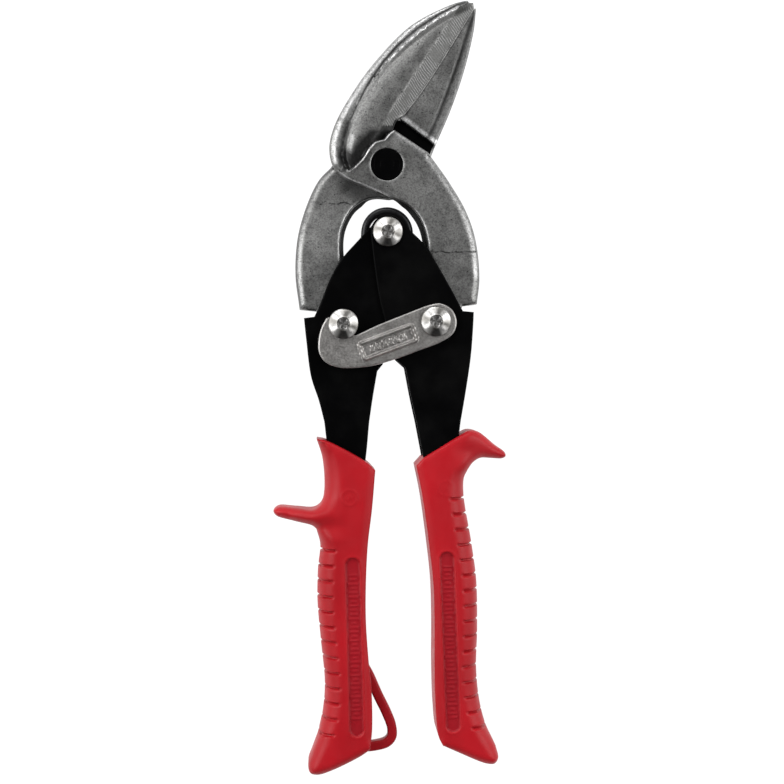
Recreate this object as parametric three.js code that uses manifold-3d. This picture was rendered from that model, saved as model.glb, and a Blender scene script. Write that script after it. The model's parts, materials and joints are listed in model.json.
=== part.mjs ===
// Offset aviation snips, closed and latched, lying on their back.
// Units are millimetres. +Y points to the blade tips, +Z is the axis every pivot turns about,
// x = y = 0 is the blade pivot and z = 0 is the plane the snips rest on.
import * as THREE from "three";
import { mergeVertices } from "three/addons/utils/BufferGeometryUtils.js";
import Module from "manifold-3d";

const wasm = await Module();
wasm.setup();

// ---- driving dimensions -------------------------------------------------------------------
const SHEAR_Z = 10; // height of the plane where the two blades slide on each other
const AIR = 0.1; // flat gap between neighbouring layers
const PLATE = 1.5; // sheet thickness of the handle channels and the latch
const TANG = 8; // thickness of each blade's tang
const SHIFT = (PLATE + AIR) / 2; // how far each tang sits off the shear plane

const BLADE_PIVOT = [0, 0];
const HANDLE_PIVOT = [0.2, -21.1];
const LEFT_TANG_PIVOT = [-13.6, -49.7];
const RIGHT_TANG_PIVOT = [15, -48.9];

const SHANK_R = 2.4; // screws of the three lever pivots
const SLEEVE_R = 3; // sleeves that keep the channels from being pinched
const BOLT_R = 3.6; // blade pivot bolt
const BOLT_HEAD_R = 5; // its flush head, sunk into the front blade
const BOLT_HEAD_Z = 1.9; // underside of that head
const BOLT_NUT_Z = -5.9; // top of its nut
const EYE_R = 5.3; // rounded end of the handle plates at their common pivot
const TANG_END_R = 6.4;
const RUNNING_GAP = 0.15; // radial play of a turning fit
const OPEN_PIVOT_PLAY = 0.45; // play of the right tang on its sleeve
const HEAD_R = 4.65;

// Layers above and below the shear plane
const RIGHT_TANG_TOP = TANG / 2 + SHIFT;
const LEFT_TANG_BOTTOM = -RIGHT_TANG_TOP;
const LEFT_TANG_TOP = TANG / 2 - SHIFT;
const RIGHT_TANG_BOTTOM = -LEFT_TANG_TOP;
const LEFT_FRONT = LEFT_TANG_TOP + AIR; // underside of the left handle's front plate
const RIGHT_FRONT = RIGHT_TANG_TOP + AIR; // underside of the right handle's front plate
const FRONT_FACE = RIGHT_FRONT + PLATE; // outermost handle plate, front
const BACK_FACE = -FRONT_FACE; // outermost handle plate, back
const LATCH_WASHER = 0.5;
const LATCH_Z = FRONT_FACE + LATCH_WASHER + AIR;
const LATCH_HEAD_Z = LATCH_Z + PLATE + 0.05; // underside of the two screw heads at the latch
const GRIP_BACK = -SHEAR_Z;
const GRIP_FRONT = 8.4;

// ---- materials ----------------------------------------------------------------------------
const finish = (color, metalness, roughness) => () =>
  new THREE.MeshStandardMaterial({ color, metalness, roughness });
const forgedSteel = finish(0x8b8b89, 0.9, 0.42);
const blackSteel = finish(0x15151a, 0.5, 0.4);
const brightSteel = finish(0xd0d0ce, 1.0, 0.22);
const stampedSteel = finish(0x9b9792, 0.9, 0.38);
const redPlastic = finish(0xb01c26, 0.0, 0.38);

// ---- shape helpers ------------------------------------------------------------------------
const ROUND = 32; // sides of a turned piece

// Closed outline from runs of points. Each run is one smooth stretch; runs meet at corners.
function outline(step, ...runs) {
  const points = [];
  for (const run of runs) {
    const curve = new THREE.CatmullRomCurve3(
      run.map(([x, y]) => new THREE.Vector3(x, y, 0)), false, "centripetal");
    const parts = run.length === 2 ? 1 : Math.max(run.length - 1, Math.round(curve.getLength() / step));
    points.push(...curve.getSpacedPoints(parts).slice(0, -1));
  }
  return new THREE.Shape(points.map((p) => new THREE.Vector2(p.x, p.y)));
}

// Points of a circular arc, angles in degrees, as one run for outline().
function arc([x, y], radius, from, to, count = 8) {
  return Array.from({ length: count + 1 }, (_, i) => {
    const angle = THREE.MathUtils.degToRad(from + ((to - from) * i) / count);
    return [x + radius * Math.cos(angle), y + radius * Math.sin(angle)];
  });
}

// Flat stock cut to a shape, from height z0 to z1 above the shear plane, with rounded edges.
function plate(shape, z0, z1, edge = 0, rounds = 1) {
  const geometry = new THREE.ExtrudeGeometry(shape, {
    depth: z1 - z0 - 2 * edge,
    bevelEnabled: edge > 0,
    bevelThickness: edge,
    bevelSize: edge,
    bevelOffset: -edge,
    bevelSegments: rounds,
    curveSegments: 8,
  });
  return geometry.translate(0, 0, z0 + edge);
}

// Turned piece about a pivot: profile is a list of [radius, height above the shear plane].
function turned([x, y], profile, sides = ROUND) {
  const rings = profile.map(([r, z]) => new THREE.Vector2(r, z));
  return new THREE.LatheGeometry(rings, sides).rotateX(Math.PI / 2).translate(x, y, 0);
}

const rod = (pivot, radius, z0, z1, sides = ROUND) =>
  turned(pivot, [[0, z0], [radius, z0], [radius, z1], [0, z1]], sides);

const tube = (pivot, inner, outer, z0, z1, sides = ROUND) =>
  turned(pivot, [[inner, z0], [outer, z0], [outer, z1], [inner, z1], [inner, z0]], sides);

// Prism over a shape between two levels; a level is a height or a function of x and y.
function prism(shape, low, high) {
  const level = (at, x, y) => (typeof at === "function" ? at(x, y) : at);
  const geometry = new THREE.ExtrudeGeometry(shape, { depth: 1, bevelEnabled: false });
  const place = geometry.attributes.position;
  for (let i = 0; i < place.count; i += 1) {
    const end = place.getZ(i) > 0.5 ? high : low;
    place.setZ(i, level(end, place.getX(i), place.getY(i)));
  }
  return geometry;
}

// Plane that has height z0 on the line from a to b and rises by slope per mm to the line's left.
function planeOn([ax, ay], [bx, by], z0, slope) {
  const length = Math.hypot(bx - ax, by - ay);
  return (x, y) => z0 + (slope * ((bx - ax) * (y - ay) - (by - ay) * (x - ax))) / length;
}

function box([x0, x1], [y0, y1], [z0, z1]) {
  const geometry = new THREE.BoxGeometry(x1 - x0, y1 - y0, z1 - z0);
  return geometry.translate((x0 + x1) / 2, (y0 + y1) / 2, (z0 + z1) / 2);
}

// Straight-line reading of a run of points: x at a given y.
function xAt(run, y) {
  const i = run.findIndex(([, next], k) => k > 0 && (next - y) * (run[k - 1][1] - y) <= 0);
  const [[x0, y0], [x1, y1]] = [run[i - 1], run[i]];
  return x0 + ((x1 - x0) * (y - y0)) / (y1 - y0);
}

const shifted = (run, dx) => run.map(([x, y]) => [x + dx, y]);

// ---- booleans -----------------------------------------------------------------------------
function solid(geometry) {
  const bare = geometry.clone();
  bare.deleteAttribute("normal");
  bare.deleteAttribute("uv");
  const merged = mergeVertices(bare, 1e-4);
  return new wasm.Manifold(new wasm.Mesh({
    numProp: 3,
    vertProperties: new Float32Array(merged.attributes.position.array),
    triVerts: new Uint32Array(merged.index.array),
  }));
}

function carve(first, { add = [], cut = [] }) {
  let body = solid(first);
  for (const piece of add) {
    body = body.add(solid(piece));
  }
  for (const piece of cut) {
    body = body.subtract(solid(piece));
  }
  const mesh = body.getMesh();
  const geometry = new THREE.BufferGeometry();
  geometry.setAttribute("position", new THREE.BufferAttribute(mesh.vertProperties, 3));
  geometry.setIndex(new THREE.BufferAttribute(mesh.triVerts, 1));
  geometry.computeVertexNormals();
  return geometry;
}

function node(name, material, geometry) {
  const mesh = new THREE.Mesh(geometry, material());
  mesh.name = name;
  return mesh;
}

// ---- blades -------------------------------------------------------------------------------
const BLADE_STEP = 2.6; // longest straight piece of a curved blade edge
const FORGED_EDGE = 0.5;
const EDGE_LAND = 0.35; // thickness left at a cutting edge
const STRIP_WIDTH = 4;
const STRIP_DEPTH = 2.7; // thickness where the ground strip ends
const STRIP_SLOPE = (STRIP_DEPTH - EDGE_LAND) / STRIP_WIDTH;
const LAP_AIR = 0.05; // each blade stays this far off the shear plane
const LAP_REACH = 80;
const COUNTERSINK_R = BOLT_HEAD_R + 0.25;
const FRONT_EDGE = [[5.6, 15.9], [10.4, 22.2], [17.3, 32.6], [22.6, 41.2], [27.6, 49.4]];
const REAR_EDGE = shifted(FRONT_EDGE, -1.2); // hidden behind the front jaw when closed

// Removes all of a forging beyond the shear plane, up to a 45 degree ramp that starts on the
// line from a to b (pivot to its right). side is +1 to clear above the plane, -1 below it.
function lapCutter([ax, ay], [bx, by], side) {
  const along = new THREE.Vector3(bx - ax, by - ay, 0).normalize();
  const up = new THREE.Vector3(0, 0, 1);
  const away = new THREE.Vector3().crossVectors(up, along);
  const profile = [[-LAP_REACH, 0], [0, 0], [TANG, TANG], [TANG, 2 * TANG], [-LAP_REACH, 2 * TANG]];
  const side2d = profile.map(([s, h]) => new THREE.Vector2(s, side * (h - LAP_AIR)));
  const geometry = new THREE.ExtrudeGeometry(new THREE.Shape(side2d),
    { depth: 2 * LAP_REACH, bevelEnabled: false });
  geometry.translate(0, 0, -LAP_REACH);
  const basis = new THREE.Matrix4().makeBasis(away, up, along).setPosition(ax, ay, 0);
  return geometry.applyMatrix4(basis);
}

// Front forging: left jaw, boss and right tang in one piece.
function frontBlade() {
  const shape = outline(BLADE_STEP,
    [[27.2, 51.2], [20.3, 49.9], [7.7, 43.4], [-3.2, 32.6], [-10.8, 22.2], [-16.3, 12.1],
      [-17.9, 5.3], [-16.9, -0.3], [-15.1, -2.4]],
    [[-15.1, -2.4], [-12.1, -4.6], [-4.1, -7.7], [0.9, -10.1], [5.8, -12.1], [9, -14.9],
      [11.4, -19], [12.7, -25], [12, -34], [9.4, -42], [8.6, -48.9]],
    arc(RIGHT_TANG_PIVOT, TANG_END_R, 180, 335),
    [[20.8, -51.6], [23.6, -43.9]],
    [[23.6, -43.9], [28.3, -43.3]],
    [[28.3, -43.3], [29.1, -35], [27.8, -23], [24.7, -14], [19.5, -5.2], [13.6, 3]],
    [[13.6, 3], [12.8, 3.9]],
    [[12.8, 3.9], [2, 11]],
    [[2, 11], [3.4, 14.3], [5.6, 15.9]],
    FRONT_EDGE,
    [[27.6, 49.4], [27.2, 51.2]]);
  const edgeStart = FRONT_EDGE[0];
  const edgeEnd = FRONT_EDGE[FRONT_EDGE.length - 1];
  const strip = outline(BLADE_STEP,
    [[3, 11.5], [30, 53]],
    [[30, 53], [22, 53]],
    [[22, 53], [21.5, 46], [14, 35], [5.2, 20.9], [1, 13.5]],
    [[1, 13.5], [3, 11.5]]);
  const dish = outline(BLADE_STEP,
    [[31, 52], [17, 45], [5, 36.5], [-1.5, 29.5], [-6.9, 21.5], [-11.6, 12.1], [-13.2, 6], [-12.8, -0.5]],
    [[-12.8, -0.5], [-11, -2]],
    [[-11, -2], [-7.5, 1.6], [-4, 6.6], [0.6, 10.4]],
    [[0.6, 10.4], [4, 12]],
    [[4, 12], [31, 52]]);
  return node("front_blade", forgedSteel, carve(
    plate(shape, RIGHT_TANG_BOTTOM, RIGHT_TANG_TOP, FORGED_EDGE), {
      cut: [
        lapCutter([20, -6], [6, -13], -1),
        prism(dish, planeOn(edgeStart, edgeEnd, 2, 0.17), TANG),
        prism(strip, planeOn(edgeStart, edgeEnd, EDGE_LAND, STRIP_SLOPE), TANG),
        rod(BLADE_PIVOT, BOLT_R + RUNNING_GAP, -TANG, TANG),
        rod(BLADE_PIVOT, COUNTERSINK_R, BOLT_HEAD_Z - AIR, TANG),
        rod(RIGHT_TANG_PIVOT, SLEEVE_R + OPEN_PIVOT_PLAY, -TANG, TANG),
      ],
    }));
}

// Rear forging: right jaw, boss and left tang in one piece.
function rearBlade() {
  const shape = outline(BLADE_STEP,
    [[28.3, 49.8], [27.6, 43], [24.5, 30.1], [20.3, 17.9], [15.6, 6.9], [13.3, 1], [11.8, -3.4],
      [8.4, -7.4], [4.6, -9.5], [0.9, -10.2]],
    [[0.9, -10.2], [-3, -9.9], [-6.4, -10.5], [-9.9, -12.7], [-12.3, -15.9], [-14.2, -21],
      [-14.4, -28], [-12.8, -36], [-9, -43.5], [-7.2, -49.7]],
    arc(LEFT_TANG_PIVOT, TANG_END_R, 0, -155),
    [[-19.4, -52.4], [-22, -45.5]],
    [[-22, -45.5], [-27.2, -45]],
    [[-27.2, -45], [-28.5, -34], [-27.7, -22], [-24.6, -11.2], [-21.1, -4.2], [-17.1, 0]],
    [[-17.1, 0], [-12, 4], [-6.5, 9.5], [-1, 13], [4.4, 15.9]],
    REAR_EDGE,
    [[26.4, 49.4], [28.3, 49.8]]);
  const edgeStart = REAR_EDGE[0];
  const edgeEnd = REAR_EDGE[REAR_EDGE.length - 1];
  const strip = outline(BLADE_STEP,
    [[3.2, 15.1], [28, 53]],
    [[28, 53], [31, 49]],
    [[31, 49], [21, 33], [12, 20.2], [8, 13.8]],
    [[8, 13.8], [3.2, 15.1]]);
  const grooveStart = [12.9, 8.9];
  const grooveEnd = [27.7, 48.4];
  const outerBevel = outline(BLADE_STEP,
    [grooveStart, [19.7, 26.2], [24.5, 39], grooveEnd],
    [grooveEnd, [32, 50]],
    [[32, 50], [20, 6]],
    [[20, 6], grooveStart]);
  const slot = outline(BLADE_STEP,
    [[3.5, 14.7], [14, 5.8]],
    [[14, 5.8], [14.5, 2]],
    [[14.5, 2], [10, 3.5]],
    [[10, 3.5], [2, 9.2]],
    [[2, 9.2], [3.5, 14.7]]);
  return node("rear_blade", forgedSteel, carve(
    plate(shape, LEFT_TANG_BOTTOM, LEFT_TANG_TOP, FORGED_EDGE), {
      cut: [
        lapCutter([0.9, -11], [-20.7, -7.5], 1),
        prism(strip, -2 * TANG, planeOn(edgeStart, edgeEnd, -EDGE_LAND, STRIP_SLOPE)),
        prism(outerBevel, planeOn(grooveStart, grooveEnd, -2 * LAP_AIR, 0.4), TANG),
        prism(slot, -1.9, TANG),
        rod(BLADE_PIVOT, BOLT_R + RUNNING_GAP, -TANG, TANG),
        rod(LEFT_TANG_PIVOT, SLEEVE_R + RUNNING_GAP, -TANG, TANG),
      ],
    }));
}

// ---- handles ------------------------------------------------------------------------------
const HANDLE_STEP = 4;
const TAIL_END = -152; // how far each channel reaches into its grip
const SOCKET_GAP = 0.3;

const LEFT_OUTER = [[-25.8, -47.8], [-25.1, -54.5], [-23.6, -66], [-21.2, -73.4], [-19.5, -80]];
const LEFT_TAIL_OUTER = [[-19.5, -80], [-18.5, -88], [-17.6, -100], [-17.6, TAIL_END]];
const LEFT_TAIL_INNER = [[-8.6, TAIL_END], [-8.6, -106], [-6.7, -92.2], [-5.5, -80]];
const RIGHT_OUTER = [[27, -45.9], [26.8, -50.4], [26.1, -59.5], [24.6, -70], [22.9, -80]];
const RIGHT_TAIL_OUTER = [[22.9, -80], [22.3, -89], [22.6, -98], [24.6, -128], [24.8, TAIL_END]];
const RIGHT_TAIL_INNER = [[16.8, TAIL_END], [16.6, -128], [13.9, -106], [11.4, -92], [9.1, -80]];

// Stamped channel: two equal plates joined by a web along the outer edge.
function channel(name, { shape, edge, side, backPlate, frontPlate, holes }) {
  const web = outline(HANDLE_STEP, ...edge,
    [edge.at(-1).at(-1), [edge.at(-1).at(-1)[0] - side * PLATE, TAIL_END]],
    ...edge.slice().reverse().map((run) => shifted(run, -side * PLATE).reverse()),
    [[edge[0][0][0] - side * PLATE, edge[0][0][1]], edge[0][0]]);
  return node(name, blackSteel, carve(plate(web, backPlate, frontPlate + PLATE), {
    add: [
      plate(shape, backPlate, backPlate + PLATE),
      plate(shape, frontPlate, frontPlate + PLATE),
    ],
    cut: holes.map((pivot) => rod(pivot, SHANK_R + RUNNING_GAP, -2 * TANG, 2 * TANG)),
  }));
}

function leftHandleFrame() {
  const shape = outline(HANDLE_STEP,
    arc(HANDLE_PIVOT, EYE_R, -10, 155),
    [[-4.6, -18.9], [-9, -23.7], [-14.1, -29.5], [-17.5, -35.3], [-21.1, -44.3], [-22.6, -47.4]],
    [[-22.6, -47.4], LEFT_OUTER[0]],
    LEFT_OUTER,
    LEFT_TAIL_OUTER,
    [[-17.6, TAIL_END], [-8.6, TAIL_END]],
    LEFT_TAIL_INNER,
    [[-5.5, -80], [-4.4, -72.5], [-3, -64.3]],
    [[-3, -64.3], [-1.3, -62.2]],
    [[-1.3, -62.2], [1.5, -45], [4, -30], [5.42, -22]]);
  return channel("left_handle_frame", {
    shape,
    edge: [LEFT_OUTER, LEFT_TAIL_OUTER],
    side: -1,
    backPlate: BACK_FACE,
    frontPlate: LEFT_FRONT,
    holes: [HANDLE_PIVOT, LEFT_TANG_PIVOT],
  });
}

function rightHandleFrame() {
  const shape = outline(HANDLE_STEP,
    arc(HANDLE_PIVOT, EYE_R, 185, 30),
    [[4.8, -18.45], [7.5, -20.9], [12.3, -25.8], [15.9, -31.7], [19.6, -38.2], [23.6, -45.6]],
    [[23.6, -45.6], RIGHT_OUTER[0]],
    RIGHT_OUTER,
    RIGHT_TAIL_OUTER,
    [[24.8, TAIL_END], [16.8, TAIL_END]],
    RIGHT_TAIL_INNER,
    [[9.1, -80], [7.5, -72.7], [5.7, -63.3]],
    [[5.7, -63.3], [2.9, -60.8]],
    [[2.9, -60.8], [-2, -43.5], [-3.9, -31.9], [-5.08, -21.56]]);
  return channel("right_handle_frame", {
    shape,
    edge: [RIGHT_OUTER, RIGHT_TAIL_OUTER],
    side: 1,
    backPlate: -LEFT_FRONT - PLATE,
    frontPlate: RIGHT_FRONT,
    holes: [HANDLE_PIVOT, RIGHT_TANG_PIVOT],
  });
}

// ---- grips --------------------------------------------------------------------------------
const GRIP_STEP = 3.5;
const GRIP_EDGE = 1;
const GROOVE_PITCH = 4.76;
const GROOVE_DEPTH = 0.8;
const GROOVE_WIDTH = 1.1;

// Slots that run around the outer side of a grip.
function gripGrooves(edge, side, firstY, count) {
  return Array.from({ length: count }, (_, i) => {
    const y = firstY - i * GROOVE_PITCH;
    const floor = xAt(edge, y) - side * GROOVE_DEPTH;
    const wide = side > 0 ? [floor, floor + 9] : [floor - 9, floor];
    return box(wide, [y - GROOVE_WIDTH / 2, y + GROOVE_WIDTH / 2], [-2 * TANG, 2 * TANG]);
  });
}

// Space inside a grip that takes the tail of the handle channel.
function socket(outer, inner, side, backPlate, frontPlate) {
  const wideOuter = shifted(outer, side * SOCKET_GAP);
  const wideInner = shifted(inner, -side * SOCKET_GAP);
  const end = wideOuter.at(-1)[0];
  const shape = outline(HANDLE_STEP, wideOuter,
    [[end, TAIL_END], [end, TAIL_END - SOCKET_GAP]],
    [[end, TAIL_END - SOCKET_GAP], [wideInner[0][0], TAIL_END - SOCKET_GAP]],
    [[wideInner[0][0], TAIL_END - SOCKET_GAP], wideInner[0]],
    wideInner,
    [wideInner.at(-1), wideOuter[0]]);
  return prism(shape, backPlate - SOCKET_GAP, frontPlate + PLATE + SOCKET_GAP);
}

function leftGrip() {
  const outer = [[-21.6, -178.5], [-19.9, -170], [-19.4, -162], [-20.6, -149], [-21.7, -136],
    [-21.5, -126], [-20.8, -118.5], [-22.9, -112.6]];
  const shape = outline(GRIP_STEP,
    [[-21.9, -85.2], [-19, -85.8], [-6.3, -92.6], [-3.7, -95.1]],
    [[-3.7, -95.1], [-4.7, -107], [-6, -118], [-6.6, -130], [-6.6, -142], [-5.7, -155], [-4.9, -163],
      [-4.7, -176], [-5.4, -182]],
    [[-5.4, -182], [-8.5, -184.4], [-17.3, -188.9], [-21.6, -190.2], [-24, -189.6], [-24.6, -187.2],
      [-23.4, -183.5], [-21.6, -178.5]],
    outer,
    [[-22.9, -112.6], [-29.2, -111], [-34.5, -109.4], [-35.4, -107.8], [-33.8, -106.5], [-28.1, -106.9],
      [-22.9, -107.3], [-20.2, -105], [-19.5, -101], [-20, -92], [-21.9, -85.2]]);
  const loop = outline(GRIP_STEP,
    [[-7, -155], [-4.4, -157.6], [-0.6, -166], [2.8, -174], [3.5, -178.5], [1.6, -182.2],
      [-2.5, -183.6], [-9, -184.3]],
    [[-9, -184.3], [-7, -155]]);
  const eye = outline(GRIP_STEP,
    [[-4.6, -168.3], [-2.9, -169.2], [-0.4, -174.2]],
    [[-0.4, -174.2], [0.6, -178.4], [-0.8, -180.4], [-4.6, -181]],
    [[-4.6, -181], [-4.6, -168.3]]);
  return node("left_grip", redPlastic, carve(plate(shape, GRIP_BACK, GRIP_FRONT, GRIP_EDGE, 2), {
    add: [plate(loop, -3.5, 0.5)],
    cut: [
      prism(eye, -TANG, TANG),
      socket(LEFT_TAIL_OUTER, LEFT_TAIL_INNER, -1, BACK_FACE, LEFT_FRONT),
      ...gripGrooves(outer, -1, -120.5, 13),
    ],
  }));
}

function rightGrip() {
  const outer = [[26.1, -94], [24.4, -98], [24.4, -103.5], [26.8, -118], [28.4, -130], [28.7, -145],
    [28.4, -158], [29.4, -168], [31.3, -175.5], [34.6, -182.9]];
  const shape = outline(GRIP_STEP,
    [[9, -93.6], [11.2, -91.2]],
    [[11.2, -91.2], [22.9, -84.1], [25.7, -82.7], [28.6, -83.2], [34, -87.3], [37.8, -90.2],
      [37.2, -91.7], [33, -91.6], [29.5, -91.4], [26.1, -94]],
    outer,
    [[34.6, -182.9], [35, -185.5], [33.8, -187.3], [31.2, -187.3], [21.9, -183.2], [17.4, -180.9],
      [16, -178], [15.1, -170], [14.7, -157], [14.7, -142], [14.3, -130], [13.1, -119], [10.9, -103],
      [9, -93.6]]);
  return node("right_grip", redPlastic, carve(plate(shape, GRIP_BACK, GRIP_FRONT, GRIP_EDGE, 2), {
    cut: [
      socket(RIGHT_TAIL_OUTER, RIGHT_TAIL_INNER, 1, -LEFT_FRONT - PLATE, RIGHT_FRONT),
      ...gripGrooves(outer, 1, -104.5, 16),
    ],
  }));
}

// ---- latch --------------------------------------------------------------------------------
const EMBOSS = { centre: [0.2, -55.4], length: 18.4, width: 6.2, turn: 20.3, height: 0.6, wall: 1.3 };

// Bar of the raised frame, x along the frame and y across it.
function embossBar(x, y, length, width) {
  const bar = new THREE.BoxGeometry(length, width, 2 * EMBOSS.height).translate(x, y, 0);
  bar.rotateZ(THREE.MathUtils.degToRad(EMBOSS.turn));
  return bar.translate(EMBOSS.centre[0], EMBOSS.centre[1], LATCH_Z + PLATE);
}

function latch() {
  const shape = outline(2,
    [[-18.9, -48], [-20.4, -50.9], [-21.3, -55], [-21.1, -58.6], [-19.3, -61.4], [-15.6, -63.1],
      [-11.1, -63.4], [-4.8, -62.7], [1.6, -60.9], [9.2, -58.2], [17.4, -54.9], [20.6, -52.4],
      [21.5, -48.9], [20, -45.2], [16.5, -43.3], [13, -43.8], [6.1, -46.4], [-2.9, -50], [-9.7, -53.2]],
    [[-9.7, -53.2], [-11.4, -53], [-13.4, -53], [-15.4, -52.3], [-16.6, -50.9], [-17.2, -49],
      [-17.8, -47.6]],
    [[-17.8, -47.6], [-18.9, -48]]);
  const { length, width, wall } = EMBOSS;
  return node("latch", stampedSteel, carve(plate(shape, LATCH_Z, LATCH_Z + PLATE, 0.25), {
    add: [
      embossBar(0, (width - wall) / 2, length, wall),
      embossBar(0, (wall - width) / 2, length, wall),
      embossBar((length - wall) / 2, 0, wall, width),
      embossBar((wall - length) / 2, 0, wall, width),
    ],
    cut: [rod(RIGHT_TANG_PIVOT, SHANK_R + RUNNING_GAP, -2 * TANG, 2 * TANG)],
  }));
}

// ---- fasteners ----------------------------------------------------------------------------
const HEAD_RISE = 2.2;
const RIM_RISE = 0.7; // straight rim below the dome
const SHOULDER_STEP = 0.02;
const BOLT_NUT_R = 6.4; // corner radius of the blade bolt's nut
const BOLT_WASHER_R = 6.9;
const LATCH_WASHER_R = 4.2;
const NUT_THICK = 3.35;
const NUT_R = 4.6; // corner radius of the small hexagon nuts
const SHOULDER_R = 2.5;

// Domed screw: shank from z0 up to the head's underside at headZ. Above shoulderZ the shank is
// wider, so that the head is tightened against the lever and not against the latch.
function domedScrew(name, pivot, z0, headZ, shoulderZ = headZ) {
  const dome = [[1, RIM_RISE / HEAD_RISE], [0.78, 0.78], [0.4, 0.97], [0, 1]]; // shares of radius and rise
  return node(name, brightSteel, turned(pivot, [
    [0, z0],
    [SHANK_R, z0],
    [SHANK_R, shoulderZ],
    [SHOULDER_R, shoulderZ + SHOULDER_STEP],
    [SHOULDER_R, headZ],
    [HEAD_R, headZ],
    ...dome.map(([r, z]) => [r * HEAD_R, headZ + z * HEAD_RISE]),
  ]));
}

// Hexagon nut between two heights.
function hexNut(name, pivot, cornerR, boreR, z0, z1) {
  return node(name, blackSteel, carve(rod(pivot, cornerR, z0, z1, 6), {
    cut: [rod(pivot, boreR, z0 - 1, z1 + 1)],
  }));
}

const sleeve = (name, pivot, z0, z1) =>
  node(name, brightSteel, tube(pivot, SHANK_R + RUNNING_GAP, SLEEVE_R, z0, z1));

function bladePivotBolt() {
  return node("blade_pivot_bolt", blackSteel, turned(BLADE_PIVOT, [
    [0, -SHEAR_Z],
    [BOLT_R, -SHEAR_Z],
    [BOLT_R, BOLT_HEAD_Z],
    [BOLT_HEAD_R, BOLT_HEAD_Z],
    [BOLT_HEAD_R, RIGHT_TANG_TOP - AIR],
    [0, RIGHT_TANG_TOP - AIR],
  ]));
}

// ---- torsion spring -----------------------------------------------------------------------
const WIRE_R = 1;
const COIL_R = 7.2;
const COIL_TURNS = 1.5;
const COIL_PITCH = 2.4;

// Left leg, coil about the handle pivot, right leg: one bent wire.
function torsionSpring() {
  const [px, py] = HANDLE_PIVOT;
  const half = (COIL_TURNS * COIL_PITCH) / 2;
  const leftLeg = [[-20.4, -67], [-15, -65], [-8, -59], [-5.2, -51], [-5.6, -40], [-6.8, -28]];
  const rightLeg = [[7.1, -28], [6.4, -40], [6.3, -51], [9, -59], [16, -65.5], [21.9, -67.5]];
  const coil = Array.from({ length: 25 }, (_, i) => {
    const angle = Math.PI * (1 - (2 * COIL_TURNS * i) / 24);
    return new THREE.Vector3(
      px + COIL_R * Math.cos(angle),
      py + COIL_R * Math.sin(angle),
      half - (2 * half * i) / 24);
  });
  const path = new THREE.CatmullRomCurve3([
    ...leftLeg.map(([x, y]) => new THREE.Vector3(x, y, half)),
    ...coil,
    ...rightLeg.map(([x, y]) => new THREE.Vector3(x, y, -half)),
  ], false, "centripetal");
  const wire = new THREE.Shape().absarc(0, 0, WIRE_R, 0, 2 * Math.PI);
  return node("torsion_spring", stampedSteel, new THREE.ExtrudeGeometry(wire, {
    extrudePath: path,
    steps: 90,
    curveSegments: 4,
    bevelEnabled: false,
  }));
}

// ---- assembly -----------------------------------------------------------------------------
const nutTop = BACK_FACE - AIR / 2;
const rightNutTop = -LEFT_FRONT - PLATE - AIR / 2;

const snips = new THREE.Group();
snips.add(
  frontBlade(),
  rearBlade(),
  bladePivotBolt(),
  node("blade_pivot_washer", brightSteel,
    tube(BLADE_PIVOT, BOLT_R + RUNNING_GAP, BOLT_WASHER_R, BOLT_NUT_Z + AIR / 2, LEFT_TANG_BOTTOM - AIR / 2)),
  hexNut("blade_pivot_nut", BLADE_PIVOT, BOLT_NUT_R, BOLT_R + RUNNING_GAP, -SHEAR_Z, BOLT_NUT_Z),
  leftHandleFrame(),
  rightHandleFrame(),
  leftGrip(),
  rightGrip(),
  domedScrew("handle_pivot_screw", HANDLE_PIVOT, nutTop - NUT_THICK, FRONT_FACE + AIR / 2),
  sleeve("handle_pivot_sleeve", HANDLE_PIVOT, -LEFT_FRONT + AIR, LEFT_FRONT - AIR),
  hexNut("handle_pivot_nut", HANDLE_PIVOT, NUT_R, SHANK_R + RUNNING_GAP, nutTop - NUT_THICK, nutTop),
  domedScrew("left_tang_screw", LEFT_TANG_PIVOT, nutTop - NUT_THICK, LATCH_HEAD_Z,
    LEFT_FRONT + PLATE + AIR / 2),
  sleeve("left_tang_sleeve", LEFT_TANG_PIVOT, LEFT_TANG_BOTTOM - AIR / 2, LEFT_TANG_TOP + AIR / 2),
  hexNut("left_tang_nut", LEFT_TANG_PIVOT, NUT_R, SHANK_R + RUNNING_GAP, nutTop - NUT_THICK, nutTop),
  domedScrew("right_tang_screw", RIGHT_TANG_PIVOT, rightNutTop - NUT_THICK, LATCH_HEAD_Z),
  sleeve("right_tang_sleeve", RIGHT_TANG_PIVOT, RIGHT_TANG_BOTTOM - AIR / 2, RIGHT_TANG_TOP + AIR / 2),
  hexNut("right_tang_nut", RIGHT_TANG_PIVOT, NUT_R, SHANK_R + RUNNING_GAP,
    rightNutTop - NUT_THICK, rightNutTop),
  latch(),
  node("latch_washer", brightSteel,
    tube(RIGHT_TANG_PIVOT, SHANK_R + RUNNING_GAP, LATCH_WASHER_R, FRONT_FACE + AIR / 2, LATCH_Z - AIR / 2)),
  torsionSpring(),
);
snips.position.z = SHEAR_Z;

export default snips;
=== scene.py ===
"""Offset aviation snips lying on a lit white floor, seen from above their front face."""

import json
import math

import bmesh
import bpy
import numpy as np
from mathutils import Matrix, Vector
from mathutils.geometry import delaunay_2d_cdt

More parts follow.
